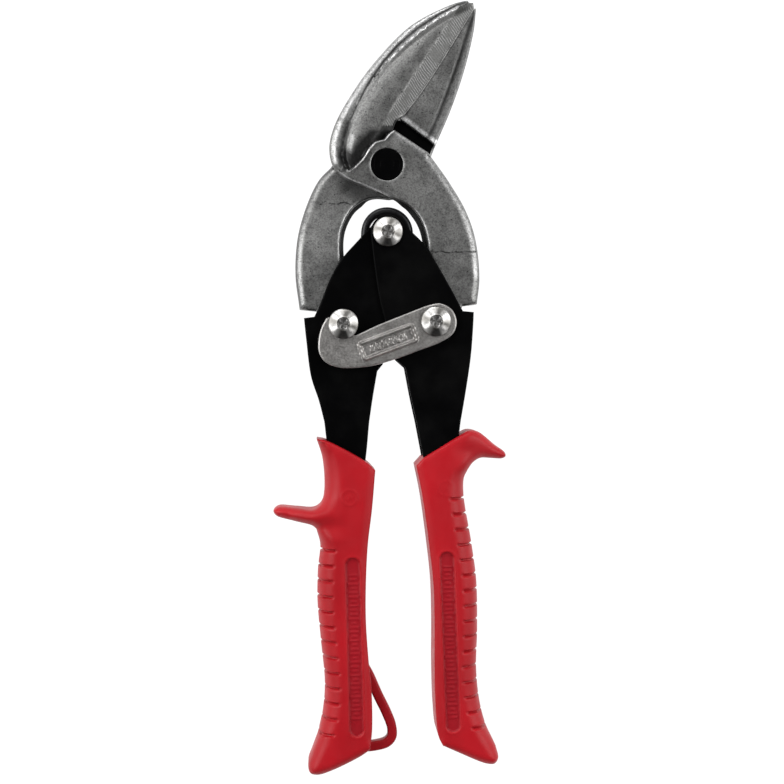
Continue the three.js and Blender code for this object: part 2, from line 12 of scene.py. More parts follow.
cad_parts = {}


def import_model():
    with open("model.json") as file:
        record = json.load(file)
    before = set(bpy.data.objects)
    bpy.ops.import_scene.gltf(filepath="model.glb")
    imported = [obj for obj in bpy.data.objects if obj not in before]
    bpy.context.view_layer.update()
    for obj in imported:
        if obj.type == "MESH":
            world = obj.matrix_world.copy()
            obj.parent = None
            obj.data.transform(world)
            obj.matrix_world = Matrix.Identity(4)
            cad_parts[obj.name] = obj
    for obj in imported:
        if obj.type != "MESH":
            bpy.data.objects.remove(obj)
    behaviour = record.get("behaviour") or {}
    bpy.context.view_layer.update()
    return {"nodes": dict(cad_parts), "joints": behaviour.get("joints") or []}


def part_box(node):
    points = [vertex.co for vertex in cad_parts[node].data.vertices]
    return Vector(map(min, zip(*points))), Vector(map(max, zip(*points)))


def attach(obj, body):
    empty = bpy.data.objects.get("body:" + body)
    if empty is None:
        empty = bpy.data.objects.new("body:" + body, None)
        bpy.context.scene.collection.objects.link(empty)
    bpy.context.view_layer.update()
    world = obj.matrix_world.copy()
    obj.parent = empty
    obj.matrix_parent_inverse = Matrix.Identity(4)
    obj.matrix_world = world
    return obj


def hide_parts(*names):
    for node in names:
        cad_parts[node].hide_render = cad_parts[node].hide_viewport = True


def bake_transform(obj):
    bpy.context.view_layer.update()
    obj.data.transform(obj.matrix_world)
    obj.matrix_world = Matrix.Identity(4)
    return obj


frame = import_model()

# ---- places from the frame ----
MM = 0.001
PIVOT = {joint["name"]: np.array(joint["pos_m"]) / MM for joint in frame["joints"]}
ORIGIN = PIVOT["blade_pivot"]  # on the blade pivot's axis, at the height of the shear plane
HANDLE_PIVOT = (PIVOT["handle_pivot"] - ORIGIN)[:2]
LEFT_TANG_PIVOT = (PIVOT["left_tang_pivot"] - ORIGIN)[:2]
RIGHT_TANG_PIVOT = (PIVOT["latch_pivot"] - ORIGIN)[:2]


def heights(node):
    """Lowest and highest z of a CAD node, in mm from the blade pivot."""
    low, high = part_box(node)
    return low[2] / MM - ORIGIN[2], high[2] / MM - ORIGIN[2]


FRONT_BOTTOM, FRONT_TOP = heights("front_blade")
REAR_BOTTOM, REAR_TOP = heights("rear_blade")
GRIP_BACK, GRIP_FRONT = heights("left_grip")
PLATE = 1.5  # sheet of the handle channels and the latch
LATCH_Z = heights("latch")[0]
LATCH_TOP = LATCH_Z + PLATE
LAP = 0.05  # each blade keeps this distance from the shear plane

# ---- curves ----


def spline(points, spacing):
    """Points about a spacing apart on a centripetal Catmull-Rom curve through the given rows."""
    p = np.array(points, float)
    ends = [2 * p[0] - p[1]], p, [2 * p[-1] - p[-2]]
    q = np.concatenate(ends)
    rows = []
    for a, b, c, d in zip(q, q[1:], q[2:], q[3:]):
        gaps = [max(np.linalg.norm(v - u), 1e-9) ** 0.5 for u, v in ((a, b), (b, c), (c, d))]
        k0, k1, k2, k3 = np.cumsum([0, *gaps])
        count = max(1, math.ceil(np.linalg.norm(c - b) / spacing))
        t = np.linspace(k1, k2, count, endpoint=False)[:, None]

        def mixed(u, v, lo, hi):
            return u * (hi - t) / (hi - lo) + v * (t - lo) / (hi - lo)

        ab, bc, cd = mixed(a, b, k0, k1), mixed(b, c, k1, k2), mixed(c, d, k2, k3)
        rows.append(mixed(mixed(ab, bc, k0, k2), mixed(bc, cd, k1, k3), k1, k2))
    rows.append(p[-1:])
    return np.concatenate(rows)


def edged(points, width):
    """Outline points with the same rounding along them."""
    return [[x, y, width, width] for x, y in points]


def arc(centre, radius, start, stop, width, count=9):
    """Arc as a run for outline(), angles in degrees."""
    angles = np.radians(np.linspace(start, stop, count))
    points = [(centre[0] + radius * math.cos(a), centre[1] + radius * math.sin(a)) for a in angles]
    return edged(points, width)


def circle(centre, radius, sides=64):
    angles = np.linspace(0, 2 * math.pi, sides, endpoint=False)
    return np.stack([centre[0] + radius * np.cos(angles), centre[1] + radius * np.sin(angles)], axis=1)


def area(loop):
    """Twice the area of a closed loop, negative when the loop runs clockwise."""
    x, y = loop[:, 0], loop[:, 1]
    return np.sum(x * np.roll(y, -1) - y * np.roll(x, -1))


def outline(spacing, *runs):
    """Closed outline of smooth runs that meet at corners. A run is rows of x, y and the width and depth of
    the edge's rounding, or one rounding and a list of points, which then end where the next run starts."""
    starts = [run[1][0] if isinstance(run, tuple) else run[0][:2] for run in runs]
    rows = []
    for run, corner in zip(runs, starts[1:] + starts[:1]):
        if isinstance(run, tuple):
            run = edged(run[1] + [corner], run[0])
        rows.append(spline(run, spacing)[:-1])
    rows = np.concatenate(rows)
    return rows if area(rows) > 0 else rows[::-1]


def nearest(x, y, curve, closed=True):
    """Distance of each (x, y) to a curve, and the index of its nearest segment."""
    best, index = np.full(np.shape(x), 1e9), np.zeros(np.shape(x), int)
    ends = np.roll(curve, -1, axis=0) if closed else curve[1:]
    for k, (a, b) in enumerate(zip(curve[:, :2], ends[:, :2])):
        d = b - a
        t = np.clip(((x - a[0]) * d[0] + (y - a[1]) * d[1]) / max(d @ d, 1e-9), 0, 1)
        away = np.hypot(x - a[0] - t * d[0], y - a[1] - t * d[1])
        index[away < best] = k
        best = np.minimum(best, away)
    return best, index


def distance(x, y, points):
    """Distance of each (x, y) to an open line through points."""
    return nearest(x, y, np.array(points), closed=False)[0]


def inside(x, y, loop):
    """Which points lie inside a closed loop."""
    found = np.zeros(np.shape(x), bool)
    for (ax, ay), (bx, by) in zip(loop[:, :2], np.roll(loop[:, :2], -1, axis=0)):
        if ay == by:
            continue
        crosses = ((ay > y) != (by > y)) & (x < (bx - ax) * (y - ay) / (by - ay) + ax)
        found ^= crosses
    return found


def side_of(x, y, start, end):
    """Distance to the left of the line from start to end."""
    (ax, ay), (bx, by) = start, end
    return ((bx - ax) * (y - ay) - (by - ay) * (x - ax)) / math.hypot(bx - ax, by - ay)


def smooth(t):
    t = np.clip(t, 0, 1)
    return t * t * (3 - 2 * t)


# ---- meshes ----


class Shell:
    """Vertices in mm from the blade pivot, and faces, gathered into one mesh."""

    def __init__(self):
        self.verts, self.faces, self.slots, self.count = [], [], [], 0

    def add(self, points):
        """Adds vertices and returns their indices."""
        self.verts.append(np.asarray(points, float))
        first, self.count = self.count, self.count + len(points)
        return list(range(first, self.count))

    def face(self, *indices, slot=0):
        self.faces.append(indices)
        self.slots.append(slot)

    def join(self, lower, upper, slots=None):
        """Quads between two closed rings of vertices."""
        corners = lower, lower[1:] + lower[:1], upper[1:] + upper[:1], upper
        for *corner, slot in zip(*corners, slots or [0] * len(lower)):
            self.face(*corner, slot=slot)

    def tube(self, rings):
        """Joins rings one to the next and closes both ends."""
        for first, second in zip(rings, rings[1:]):
            self.join(first, second)
        self.face(*reversed(rings[0]))
        self.face(*rings[-1])
        return self


def add_object(name, data):
    piece = bpy.data.objects.new(name, data)
    bpy.context.scene.collection.objects.link(piece)
    return piece


def make(name, shell, body, materials, sharp=32, place=(0, 0, 0)):
    """Smooth-shaded object that rides on a CAD body, with sharp edges above an angle in degrees.
    place is the object's origin, in mm from the blade pivot."""
    points = (np.concatenate(shell.verts) - np.array(place)) * MM
    mesh = bpy.data.meshes.new(name)
    mesh.from_pydata(points.tolist(), [], [list(f) for f in shell.faces])
    piece = add_object(name, mesh)
    piece.location = Vector((np.array(place) + ORIGIN) * MM)
    for material in materials:
        mesh.materials.append(material)
    mesh.polygons.foreach_set("material_index", shell.slots)
    turn_outwards(mesh)
    mesh.polygons.foreach_set("use_smooth", [True] * len(mesh.polygons))
    mesh.set_sharp_from_angle(angle=math.radians(sharp))
    if body:
        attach(piece, body)
    return piece


def turn_outwards(mesh):
    """Turns every face's front to the outside."""
    mesh.validate()
    body = bmesh.new()
    body.from_mesh(mesh)
    bmesh.ops.recalc_face_normals(body, faces=body.faces)
    body.to_mesh(mesh)
    body.free()
    mesh.update()


def ring_inset(rows, amount):
    """Outline moved inwards by amount at each vertex."""
    xy = rows[:, :2]
    before, after = np.roll(xy, 1, axis=0), np.roll(xy, -1, axis=0)

    def left_normal(d):
        return np.stack([-d[:, 1], d[:, 0]], axis=1) / np.maximum(np.linalg.norm(d, axis=1), 1e-9)[:, None]

    n1, n2 = left_normal(xy - before), left_normal(after - xy)
    n = n1 + n2
    n /= np.maximum(np.linalg.norm(n, axis=1), 1e-6)[:, None]
    stretch = 1 / np.maximum(np.sum(n * n1, axis=1), 0.6)
    return xy + n * (amount * stretch)[:, None]


def sweep(path, section):
    """Closed tube: a closed 2-D section carried upright along a path."""
    tangents = np.gradient(path, axis=0)
    tangents /= np.linalg.norm(tangents, axis=1)[:, None]
    shell, rings = Shell(), []
    for p, t in zip(path, tangents):
        side = np.cross(t, (0, 0, 1))
        side /= np.linalg.norm(side)
        lift = np.cross(side, t)
        rings.append(shell.add([p + u * side + v * lift for u, v in section]))
    return shell.tube(rings)


def soft_box_section(width, height, edge, steps=4):
    """Rectangle with rounded corners, centred on the path."""
    points = []
    for cx, cy, start in ((1, 1, 0), (-1, 1, 90), (-1, -1, 180), (1, -1, 270)):
        for k in range(steps + 1):
            a = math.radians(start + 90 * k / steps)
            u = cx * (width / 2 - edge) + edge * math.cos(a)
            points.append((u, cy * (height / 2 - edge) + edge * math.sin(a)))
    return points


# ---- materials ----


class Paint:
    """Node material whose textures run in millimetres of the object's own space."""

    def __init__(self, name, color, metallic, roughness, **constants):
        self.material = bpy.data.materials.new(name)
        self.material.use_nodes = True
        self.tree = self.material.node_tree
        self.shader = self.tree.nodes["Principled BSDF"]
        constants.update({"Base Color": (*color, 1), "Metallic": metallic, "Roughness": roughness})
        for key, value in constants.items():
            self.shader.inputs[key].default_value = value
        coordinates = self.tree.nodes.new("ShaderNodeTexCoord")
        self.place = self.vector("SCALE", coordinates.outputs["Object"], Scale=1 / MM)
        parts = self.node("ShaderNodeSeparateXYZ", Vector=self.place)
        self.x, self.y = parts.outputs[0], parts.outputs[1]
        self.flat = self.node("ShaderNodeCombineXYZ", X=self.x, Y=self.y).outputs[0]
        self.normal = None

    def node(self, kind, operation=None, **inputs):
        """New node; an input called _0 or _1 is a socket's number."""
        made = self.tree.nodes.new(kind)
        if operation:
            made.operation = operation
        for key, value in inputs.items():
            socket = made.inputs[int(key[1:])] if key[0] == "_" else made.inputs[key]
            if isinstance(value, bpy.types.NodeSocket):
                self.tree.links.new(value, socket)
            else:
                socket.default_value = value
        return made

    def math(self, operation, a, b=0.0):
        return self.node("ShaderNodeMath", operation, _0=a, _1=b).outputs[0]

    def vector(self, operation, a, **inputs):
        """Result of a vector operation, which is a number for some of them."""
        made = self.node("ShaderNodeVectorMath", operation, _0=a, **inputs)
        return made.outputs["Value" if operation in ("DOT_PRODUCT", "DISTANCE", "LENGTH") else "Vector"]

    def noise(self, size, detail=3.0, roughness=0.55, stretch=(1, 1, 1)):
        """Cloudy noise between 0 and 1 whose blobs are about size mm across."""
        place = self.vector("MULTIPLY", self.place, _1=tuple(s / size for s in stretch))
        made = self.node("ShaderNodeTexNoise", Vector=place, Scale=1.0, Detail=detail, Roughness=roughness)
        return made.outputs["Fac"]

    def swing(self, size, detail, reach):
        """Noise that swings both ways from 0."""
        return self.math("MULTIPLY", self.math("SUBTRACT", self.noise(size, detail), 0.5), reach)

    def spots(self, size, share):
        """1 inside small round spots, 0 outside; share sets how large they are within their cells."""
        place = self.vector("SCALE", self.place, Scale=1 / size)
        cells = self.node("ShaderNodeTexVoronoi", Vector=place, Scale=1.0, Randomness=1.0)
        return self.span(cells.outputs["Distance"], share, share * 0.45)

    def span(self, value, low, high, out_low=0.0, out_high=1.0):
        """Linear map of low..high to out_low..out_high, clamped."""
        ends = {"From Min": low, "From Max": high, "To Min": out_low, "To Max": out_high}
        return self.node("ShaderNodeMapRange", Value=value, **ends).outputs["Result"]

    def trace(self, points):
        """Distance in mm, seen from above, to a line through the points."""
        best = None
        for (ax, ay), (bx, by) in zip(points, points[1:]):
            square = (bx - ax) ** 2 + (by - ay) ** 2
            start = self.vector("SUBTRACT", self.flat, _1=(ax, ay, 0))
            share = self.vector("DOT_PRODUCT", start, _1=((bx - ax) / square, (by - ay) / square, 0))
            foot = self.vector("SCALE", (bx - ax, by - ay, 0), Scale=self.span(share, 0.0, 1.0))
            away = self.vector("DISTANCE", start, _1=foot)
            best = away if best is None else self.math("MINIMUM", best, away)
        return best

    def mix(self, fac, a, b):
        """Blend from a to b; each is a socket, a colour or one number for a grey."""
        made = self.tree.nodes.new("ShaderNodeMix")
        made.data_type = "RGBA"
        self.tree.links.new(fac, made.inputs["Factor"])
        for socket, value in ((made.inputs[6], a), (made.inputs[7], b)):
            if isinstance(value, bpy.types.NodeSocket):
                self.tree.links.new(value, socket)
            else:
                socket.default_value = (*value, 1) if isinstance(value, tuple) else (value, value, value, 1)
        return made.outputs[2]

    def color(self, socket):
        self.tree.links.new(socket, self.shader.inputs["Base Color"])

    def rough(self, socket):
        self.tree.links.new(socket, self.shader.inputs["Roughness"])

    def bump(self, height, depth, strength=1.0):
        """Adds relief of about depth mm."""
        made = self.node("ShaderNodeBump", Height=height, Strength=strength, Distance=depth * MM)
        if self.normal:
            self.tree.links.new(self.normal, made.inputs["Normal"])
        self.normal = made.outputs["Normal"]
        self.tree.links.new(self.normal, self.shader.inputs["Normal"])


def scaled(color, factor):
    return tuple(c * factor for c in color)


def forged_steel(name, grey, lines, faint_line):
    """Tumbled forging: fine dark sand-like grain and pits. lines are painted highlights and painted shade
    along traces, as points, distance of full tone, distance where it has faded, share and tone; the last
    argument is a faint dark line, as y, lowest x and highest x."""
    roughness = 0.4
    p = Paint(name, grey, 1.0, roughness)
    cloud = p.noise(9.0, 5.0)
    grain = p.noise(0.5, 3.0, 0.7)
    coarse = p.noise(2.0, 4.0, 0.7)
    ragged = p.swing(2.2, 3.0, 2.0)
    pits = p.math("MULTIPLY", p.spots(1.3, 0.2), p.span(p.noise(3.0, 2.0), 0.48, 0.56))
    tone = p.mix(p.span(cloud, 0.32, 0.68), scaled(grey, 0.84), scaled(grey, 1.12))
    # Painted highlights and painted shade along the traces on edges, rims and grooves.
    for points, core, fade, share, shade in lines:
        wander = p.math("MULTIPLY", ragged, min(0.3 * fade, 0.1 + 0.12 * fade))
        away = p.math("ADD", p.trace(points), wander)
        tone = p.mix(p.span(away, core, fade, share, 0.0), tone, shade)
    tone = p.mix(p.span(grain, 0.3, 0.58, 0.62, 0.0), tone, 0.045)
    tone = p.mix(p.span(coarse, 0.36, 0.52, 0.35, 0.0), tone, 0.045)
    tone = p.mix(p.math("MULTIPLY", pits, 0.9), tone, 0.01)
    # A faint, wavering dark line across the face along a given y.
    y, x_from, x_to = faint_line
    off = p.math("ABSOLUTE", p.math("ADD", p.math("SUBTRACT", p.y, y), p.swing(4.0, 5.0, 4.0)))
    line = p.math("MULTIPLY", p.span(off, 0.12, 0.45, 0.85, 0.0), p.span(p.noise(1.7, 2.0), 0.38, 0.52))
    within = p.math("MULTIPLY", p.math("GREATER_THAN", p.x, x_from), p.math("LESS_THAN", p.x, x_to))
    p.color(p.mix(p.math("MULTIPLY", line, within), tone, 0.015))
    p.rough(p.span(cloud, 0.3, 0.7, roughness - 0.05, roughness + 0.08))
    p.bump(grain, 0.05, 0.5)
    p.bump(coarse, 0.06, 0.4)
    return p.material


def scale_and_wall_shade():
    """Near-black forging scale on the forgings' walls and in their corners, made darker as painted shade."""
    p = Paint("scale_and_wall_shade", (0.008, 0.008, 0.008), 0.0, 0.8, **{"Specular IOR Level": 0.08})
    crust = p.noise(0.9, 4.0)
    p.color(p.mix(p.span(crust, 0.35, 0.65), 0.004, (0.014, 0.014, 0.013)))
    p.bump(crust, 0.08, 0.5)
    return p.material


def ground_strip():
    """Edge ground in fine parallel grooves, deeper in some patches than in others."""
    p = Paint("ground_strip", (0.3, 0.3, 0.3), 1.0, 0.5)
    along = p.vector("DOT_PRODUCT", p.place, _1=(*SERRATION_RUN, 0))
    wobble = p.math("MULTIPLY", p.noise(5.0, 2.0), 1.1)
    phase = p.math("MULTIPLY", p.math("ADD", along, wobble), 2 * math.pi / SERRATION_PITCH)
    patch = p.span(p.noise(4.0, 2.0), 0.38, 0.55, 0.1, 1.0)
    cut = p.math("MULTIPLY", p.span(p.math("SINE", phase), 0.1, -0.9), patch)
    grain = p.noise(0.6, 4.0, 0.75)
    tone = p.mix(p.span(grain, 0.3, 0.58, 0.5, 0.0), (0.115, 0.115, 0.112), 0.045)
    p.color(p.mix(p.math("MULTIPLY", cut, 0.8), tone, 0.24))
    p.bump(cut, 0.06, 0.7)
    p.bump(grain, 0.05, 0.5)
    return p.material


def black_coat(name, shine=0.36):
    """Black coating on stamped steel, with a faint orange-peel and dust."""
    p = Paint(name, (0.0012, 0.0012, 0.0013), 0.0, shine, **{"Specular IOR Level": 0.03})
    dust = p.noise(12.0, 5.0)
    p.color(p.mix(p.span(dust, 0.45, 0.75), (0.0009, 0.0009, 0.001), 0.0022))
    p.rough(p.span(dust, 0.3, 0.7, shine - 0.06, shine + 0.12))
    p.bump(p.noise(0.9, 2.0), 0.012, 0.4)
    return p.material


def turned_steel():
    """Turned head: painted reflection sectors, painted shade low on it and in the recess, and a little
    staining.
    """
    p = Paint("turned_steel", (0.5, 0.49, 0.475), 1.0, 0.36)
    angle = p.math("ARCTAN2", p.y, p.x)
    # Bright and dark sectors round the head: painted reflection.
    wavering = p.math("ADD", angle, p.math("MULTIPLY", p.noise(2.0, 2.0), 0.5))
    sector = p.math("COSINE", p.math("MULTIPLY", wavering, 4.0))
    from_low = p.math("ABSOLUTE", p.math("ADD", angle, math.pi / 2))
    radius = p.vector("LENGTH", p.flat)
    # Darker towards the bottom of the head: painted shade.
    shadow = p.math("MULTIPLY", p.span(from_low, 0.28, 0.5, 0.94, 0.0), p.span(radius, 2.0, 2.4))
    stain = p.noise(1.0, 4.0)
    tone = p.mix(p.span(sector, -0.7, 0.9), (0.55, 0.543, 0.53), (0.17, 0.165, 0.155))
    tone = p.mix(shadow, tone, 0.02)
    # Darker inside the ring round the recess: painted shade.
    tone = p.mix(p.span(radius, 1.4, 2.2, 0.45, 0.0), tone, 0.12)
    p.color(p.mix(p.span(stain, 0.35, 0.65, 0.25, 0.0), tone, (0.2, 0.19, 0.18)))
    p.rough(p.span(stain, 0.3, 0.7, 0.32, 0.42))
    return p.material


def stamped_steel():
    """Grainy, slightly warm stamping."""
    p = Paint("stamped_steel", (0.35, 0.335, 0.32), 1.0, 0.4)
    grain = p.noise(0.65, 4.0, 0.75)
    cloud = p.noise(4.0, 4.0)
    tone = p.mix(p.span(cloud, 0.3, 0.7), (0.27, 0.26, 0.25), (0.46, 0.447, 0.434))
    p.color(p.mix(p.span(grain, 0.3, 0.58, 0.55, 0.0), tone, (0.12, 0.115, 0.11)))
    p.rough(p.span(grain, 0.3, 0.7, 0.34, 0.5))
    p.bump(grain, 0.05, 0.5)
    return p.material


def red_plastic(name, red):
    """Moulded grip plastic: satin, with a very fine texture and faint flow marks."""
    p = Paint(name, red, 0.0, 0.42, **{"Specular IOR Level": 0.19})
    flow = p.noise(14.0, 3.0, stretch=(1, 0.4, 1))
    p.color(p.mix(p.span(flow, 0.3, 0.7), scaled(red, 0.86), scaled(red, 1.1)))
    p.rough(p.span(p.noise(4.0, 4.0), 0.3, 0.7, 0.36, 0.5))
    p.bump(p.noise(0.28, 2.0), 0.018, 0.5)
    p.bump(p.noise(9.0, 2.0), 0.12, 0.25)
    return p.material


def spring_wire():
    """Black oiled spring wire with faint drawing marks."""
    p = Paint("spring_wire", (0.012, 0.012, 0.013), 0.6, 0.3)
    p.rough(p.span(p.noise(1.2, 3.0), 0.3, 0.7, 0.24, 0.42))
    p.bump(p.noise(0.5, 2.0), 0.02, 0.4)
    return p.material


SERRATION_PITCH, SERRATION_RUN = 0.76, (0.75, 0.66)

# Painted highlight and painted shade lines on the forgings, seen from above: jaw, boss, bows, then the
# right jaw's ledge and groove.
RIM_POINTS = [[24.8, 50.1], [22.4, 48.9], [16.5, 45.5], [10.2, 41.1], [4.1, 35.8], [-0.2, 31.4], [-5.2, 24.8],
              [-8.6, 19.6], [-12.0, 12.2], [-13.5, 7.2], [-13.9, 2.4], [-12.9, -1.2]]
RIM_CREST = [[22.2, 49.1], [16.3, 45.7], [10.0, 41.3], [3.9, 36.0], [0.6, 32.6]]
RIM_SHADE = [[24.2, 50.5], [21.9, 49.7], [15.8, 46.4], [9.4, 42.1], [3.2, 36.8], [-1.0, 32.0], [-5.7, 25.2],
             *RIM_POINTS[7:]]
SPINE = [[18, 48.6], [9.2, 43.2], [1.2, 36.2], [-5.4, 29.0], [-10.2, 21.9], [-13.2, 16.2]]
LOWER_SPINE = [[-14.6, 12.5], [-16.0, 6.5], [-15.6, 1.5]]
HEEL_SPINE = [[-10.6, 9.0], [-11.4, 5.0], [-11.6, 2.5]]
BOSS_CORNER = [[-12.8, 2.4], [-10.8, 1.1], [-8.7, 3.1], [-6.7, 6.2], [-4.3, 8.5], [-1.4, 9.3], [0.2, 11.1],
               [2.0, 13.2]]
BOSS_LINE = [[-11.6, -2.1], [-9.4, -0.4], [-7.4, 1.7], [-5.4, 4.9], [-3.5, 6.8], [-0.7, 7.6], [0.6, 9.2],
             [2.4, 10.6]]
HEEL_EDGE = [[-14.8, -2.8], [-12.1, -4.5], [-4.1, -7.6], [0.9, -10.0]]
HEEL_SHADE = [[-12, -6], [-6, -9.6]]
RIGHT_SHOULDER = [[3.2, 9.6], [12.2, 3.2], [18.6, -5.6], [23.6, -14.0], [26.6, -23], [27.8, -34]]
LEFT_SHOULDER = [[-17.8, -1.4], [-21.6, -5.4], [-25.0, -12], [-27.4, -22.4], [-28.1, -34], [-27.0, -43]]
LEFT_SIDE = [[-27.2, -45], [-28.5, -34], [-27.7, -22], [-24.6, -11.2], [-21.1, -4.2], [-17.1, 0]]
FRONT_WINDOW = [[5.6, -12.4], [9.4, -14.9], [11.8, -19], [13.1, -25], [12.4, -33]]
REAR_WINDOW = [[-7.0, -10.9], [-10.3, -12.9], [-12.8, -16.1], [-14.7, -21], [-14.9, -28], [-13.3, -36]]
LEDGE_EDGE = [[3.6, 16.6], [9.8, 12.0], [15.8, 7.6]]
GROOVE_POINTS = [[12.6, 8.3], [15.7, 14.9], [19.9, 26.0], [24.1, 38.2], [25.9, 43.6], [27.6, 48.2]]
GROOVE_BANK = [[14.2, 7.6], [17.3, 14.3], [21.5, 25.4], [25.5, 37.7], [27.2, 44]]

# Each row: line, distance of full tone, distance where it has faded, share, tone. A bright tone is a
# painted highlight, a dark tone painted shade.
FRONT_LINES = [
    (SPINE, 0.6, 3.0, 0.75, 0.55),
    (LOWER_SPINE, 0.3, 1.6, 0.6, 0.6),
    (HEEL_SPINE, 0.1, 0.9, 0.5, 0.7),
    (RIM_POINTS[-4:], 0.3, 1.5, 0.85, 0.015),
    (RIGHT_SHOULDER, 0.3, 1.5, 0.4, 0.6),
    (HEEL_EDGE, 0.1, 0.5, 0.8, 0.8),
    (FRONT_WINDOW, 0.1, 0.6, 0.6, 0.7),
    (BOSS_CORNER, 1.5, 3.7, 0.94, 0.01),
    (BOSS_LINE, 0.1, 0.45, 0.9, 0.95),
    (RIM_CREST, 0.15, 0.6, 0.9, 0.95),
    (RIM_SHADE, 0.1, 0.55, 0.8, 0.015),
]
REAR_LINES = [
    (LEFT_SHOULDER, 0.3, 1.5, 0.2, 0.6),
    (GROOVE_BANK, 1.0, 2.4, 0.5, 0.1),
    (REAR_WINDOW, 0.1, 0.6, 0.6, 0.7),
    (LEDGE_EDGE, 0.3, 1.0, 0.9, 0.85),
    (GROOVE_POINTS, 0.2, 1.1, 0.8, 0.02),
    (HEEL_SHADE, 1.0, 4.0, 0.6, 0.02),
    (LEFT_SIDE, 0.3, 1.4, 0.5, 0.08),
]
FRONT_STEEL = forged_steel("forged_front", (0.245, 0.245, 0.24), FRONT_LINES, (-27.0, 12.0, 30.0))
REAR_STEEL = forged_steel("forged_rear", (0.265, 0.265, 0.26), REAR_LINES, (-11.8, -21.0, -9.0))
# Forging scale with painted shade, for the walls round the window and the slot.
SCALE = scale_and_wall_shade()
STRIP = ground_strip()
BLACK = black_coat("black_coat")
# Black oxide on the nuts and the pivot bolt; the same black is painted shade on the rear forging's slot
# floor.
OXIDE_AND_SLOT_SHADE = black_coat("black_oxide_and_slot_shade", 0.3)
TURNED = turned_steel()
STAMPED = stamped_steel()
RED = red_plastic("red_plastic", (0.345, 0.006, 0.011))
# Darker copy of the grip red for the lanyard loop: painted shade, as the loop lies back in shadow.
SHADED_LOOP_RED = red_plastic("shaded_loop_red", (0.32, 0.006, 0.011))
# Darker red in the grips' recessed lettering panels: painted shade.
PANEL_SHADE_RED = red_plastic("panel_shade_red", (0.27, 0.005, 0.011))
WIRE = spring_wire()


# ---- bodies made as reliefs over an outline ----

RING_INSETS = (0, 0.012, 0.04, 0.11, 0.24, 0.42, 0.62)
ROUND_POWER = 2.2


def drop(away, width, depth):
    """How far a rounded edge lies below its face at a distance from the outline."""
    t = np.clip(1 - away / np.maximum(width, 1e-6), 0, 1)
    return depth * (1 - (1 - t**ROUND_POWER) ** (1 / ROUND_POWER))


def level(z):
    """Height function of a flat face."""
    return lambda x, y: np.full(np.shape(x), z)


def triangulate(border, holes, creases, spacing, dense):
    """Points and triangles of a face: its border comes first, then each hole's loop."""
    loops = [border] + holes
    low, high = border.min(axis=0), border.max(axis=0)
    step = spacing / 2
    gx, gy = np.meshgrid(np.arange(low[0], high[0], step), np.arange(low[1], high[1], step * 0.9))
    column, row = np.meshgrid(np.arange(gx.shape[1]), np.arange(gx.shape[0]))
    gx = gx + (row % 4 >= 2) * step * 0.9 + (row % 2) * step * 0.5
    coarse = (row % 2 == 0) & (column % 2 == 0)
    keep = inside(gx, gy, border)
    gx, gy, coarse = gx[keep], gy[keep], coarse[keep]
    fine = dense(gx, gy) if dense else np.zeros(gx.shape, bool)
    keep = coarse | fine
    gx, gy, fine = gx[keep], gy[keep], fine[keep]
    clear = np.where(fine, 0.5 * step, 0.6 * spacing)
    keep = nearest(gx, gy, border)[0] > clear
    for hole in holes:
        keep &= ~inside(gx, gy, hole) & (nearest(gx, gy, hole)[0] > clear)
    for crease in creases:
        keep &= distance(gx, gy, crease) > 0.5 * clear
    lines = loops + creases
    points = np.concatenate([*lines, np.stack([gx[keep], gy[keep]], axis=1)])
    starts = np.cumsum([0] + [len(line) for line in lines]).tolist()
    edges = []
    for k, (first, line) in enumerate(zip(starts, lines)):
        closing = 0 if k < len(loops) else 1
        edges += [(first + i, first + (i + 1) % len(line)) for i in range(len(line) - closing)]
    found = delaunay_2d_cdt([Vector(p) for p in points], edges, [list(range(len(border)))], 1, 1e-5, True)
    places = np.array([(v.x, v.y) for v in found[0]])
    triangles = np.array([f for f in found[2] if len(f) == 3])
    index = {old: new for new, olds in enumerate(found[3]) for old in olds}
    middle = places[triangles].mean(axis=1)
    kept = inside(middle[:, 0], middle[:, 1], border)
    for hole in holes:
        kept &= ~inside(middle[:, 0], middle[:, 1], hole)
    triangles = triangles[kept]
    a, b, c = (places[triangles[:, k]] for k in range(3))
    turned_over = np.cross(b - a, c - a) < 0
    triangles[turned_over] = triangles[turned_over][:, ::-1]
    borders = [[index[first + i] for i in range(len(loop))] for first, loop in zip(starts, loops)]
    return places, triangles, borders


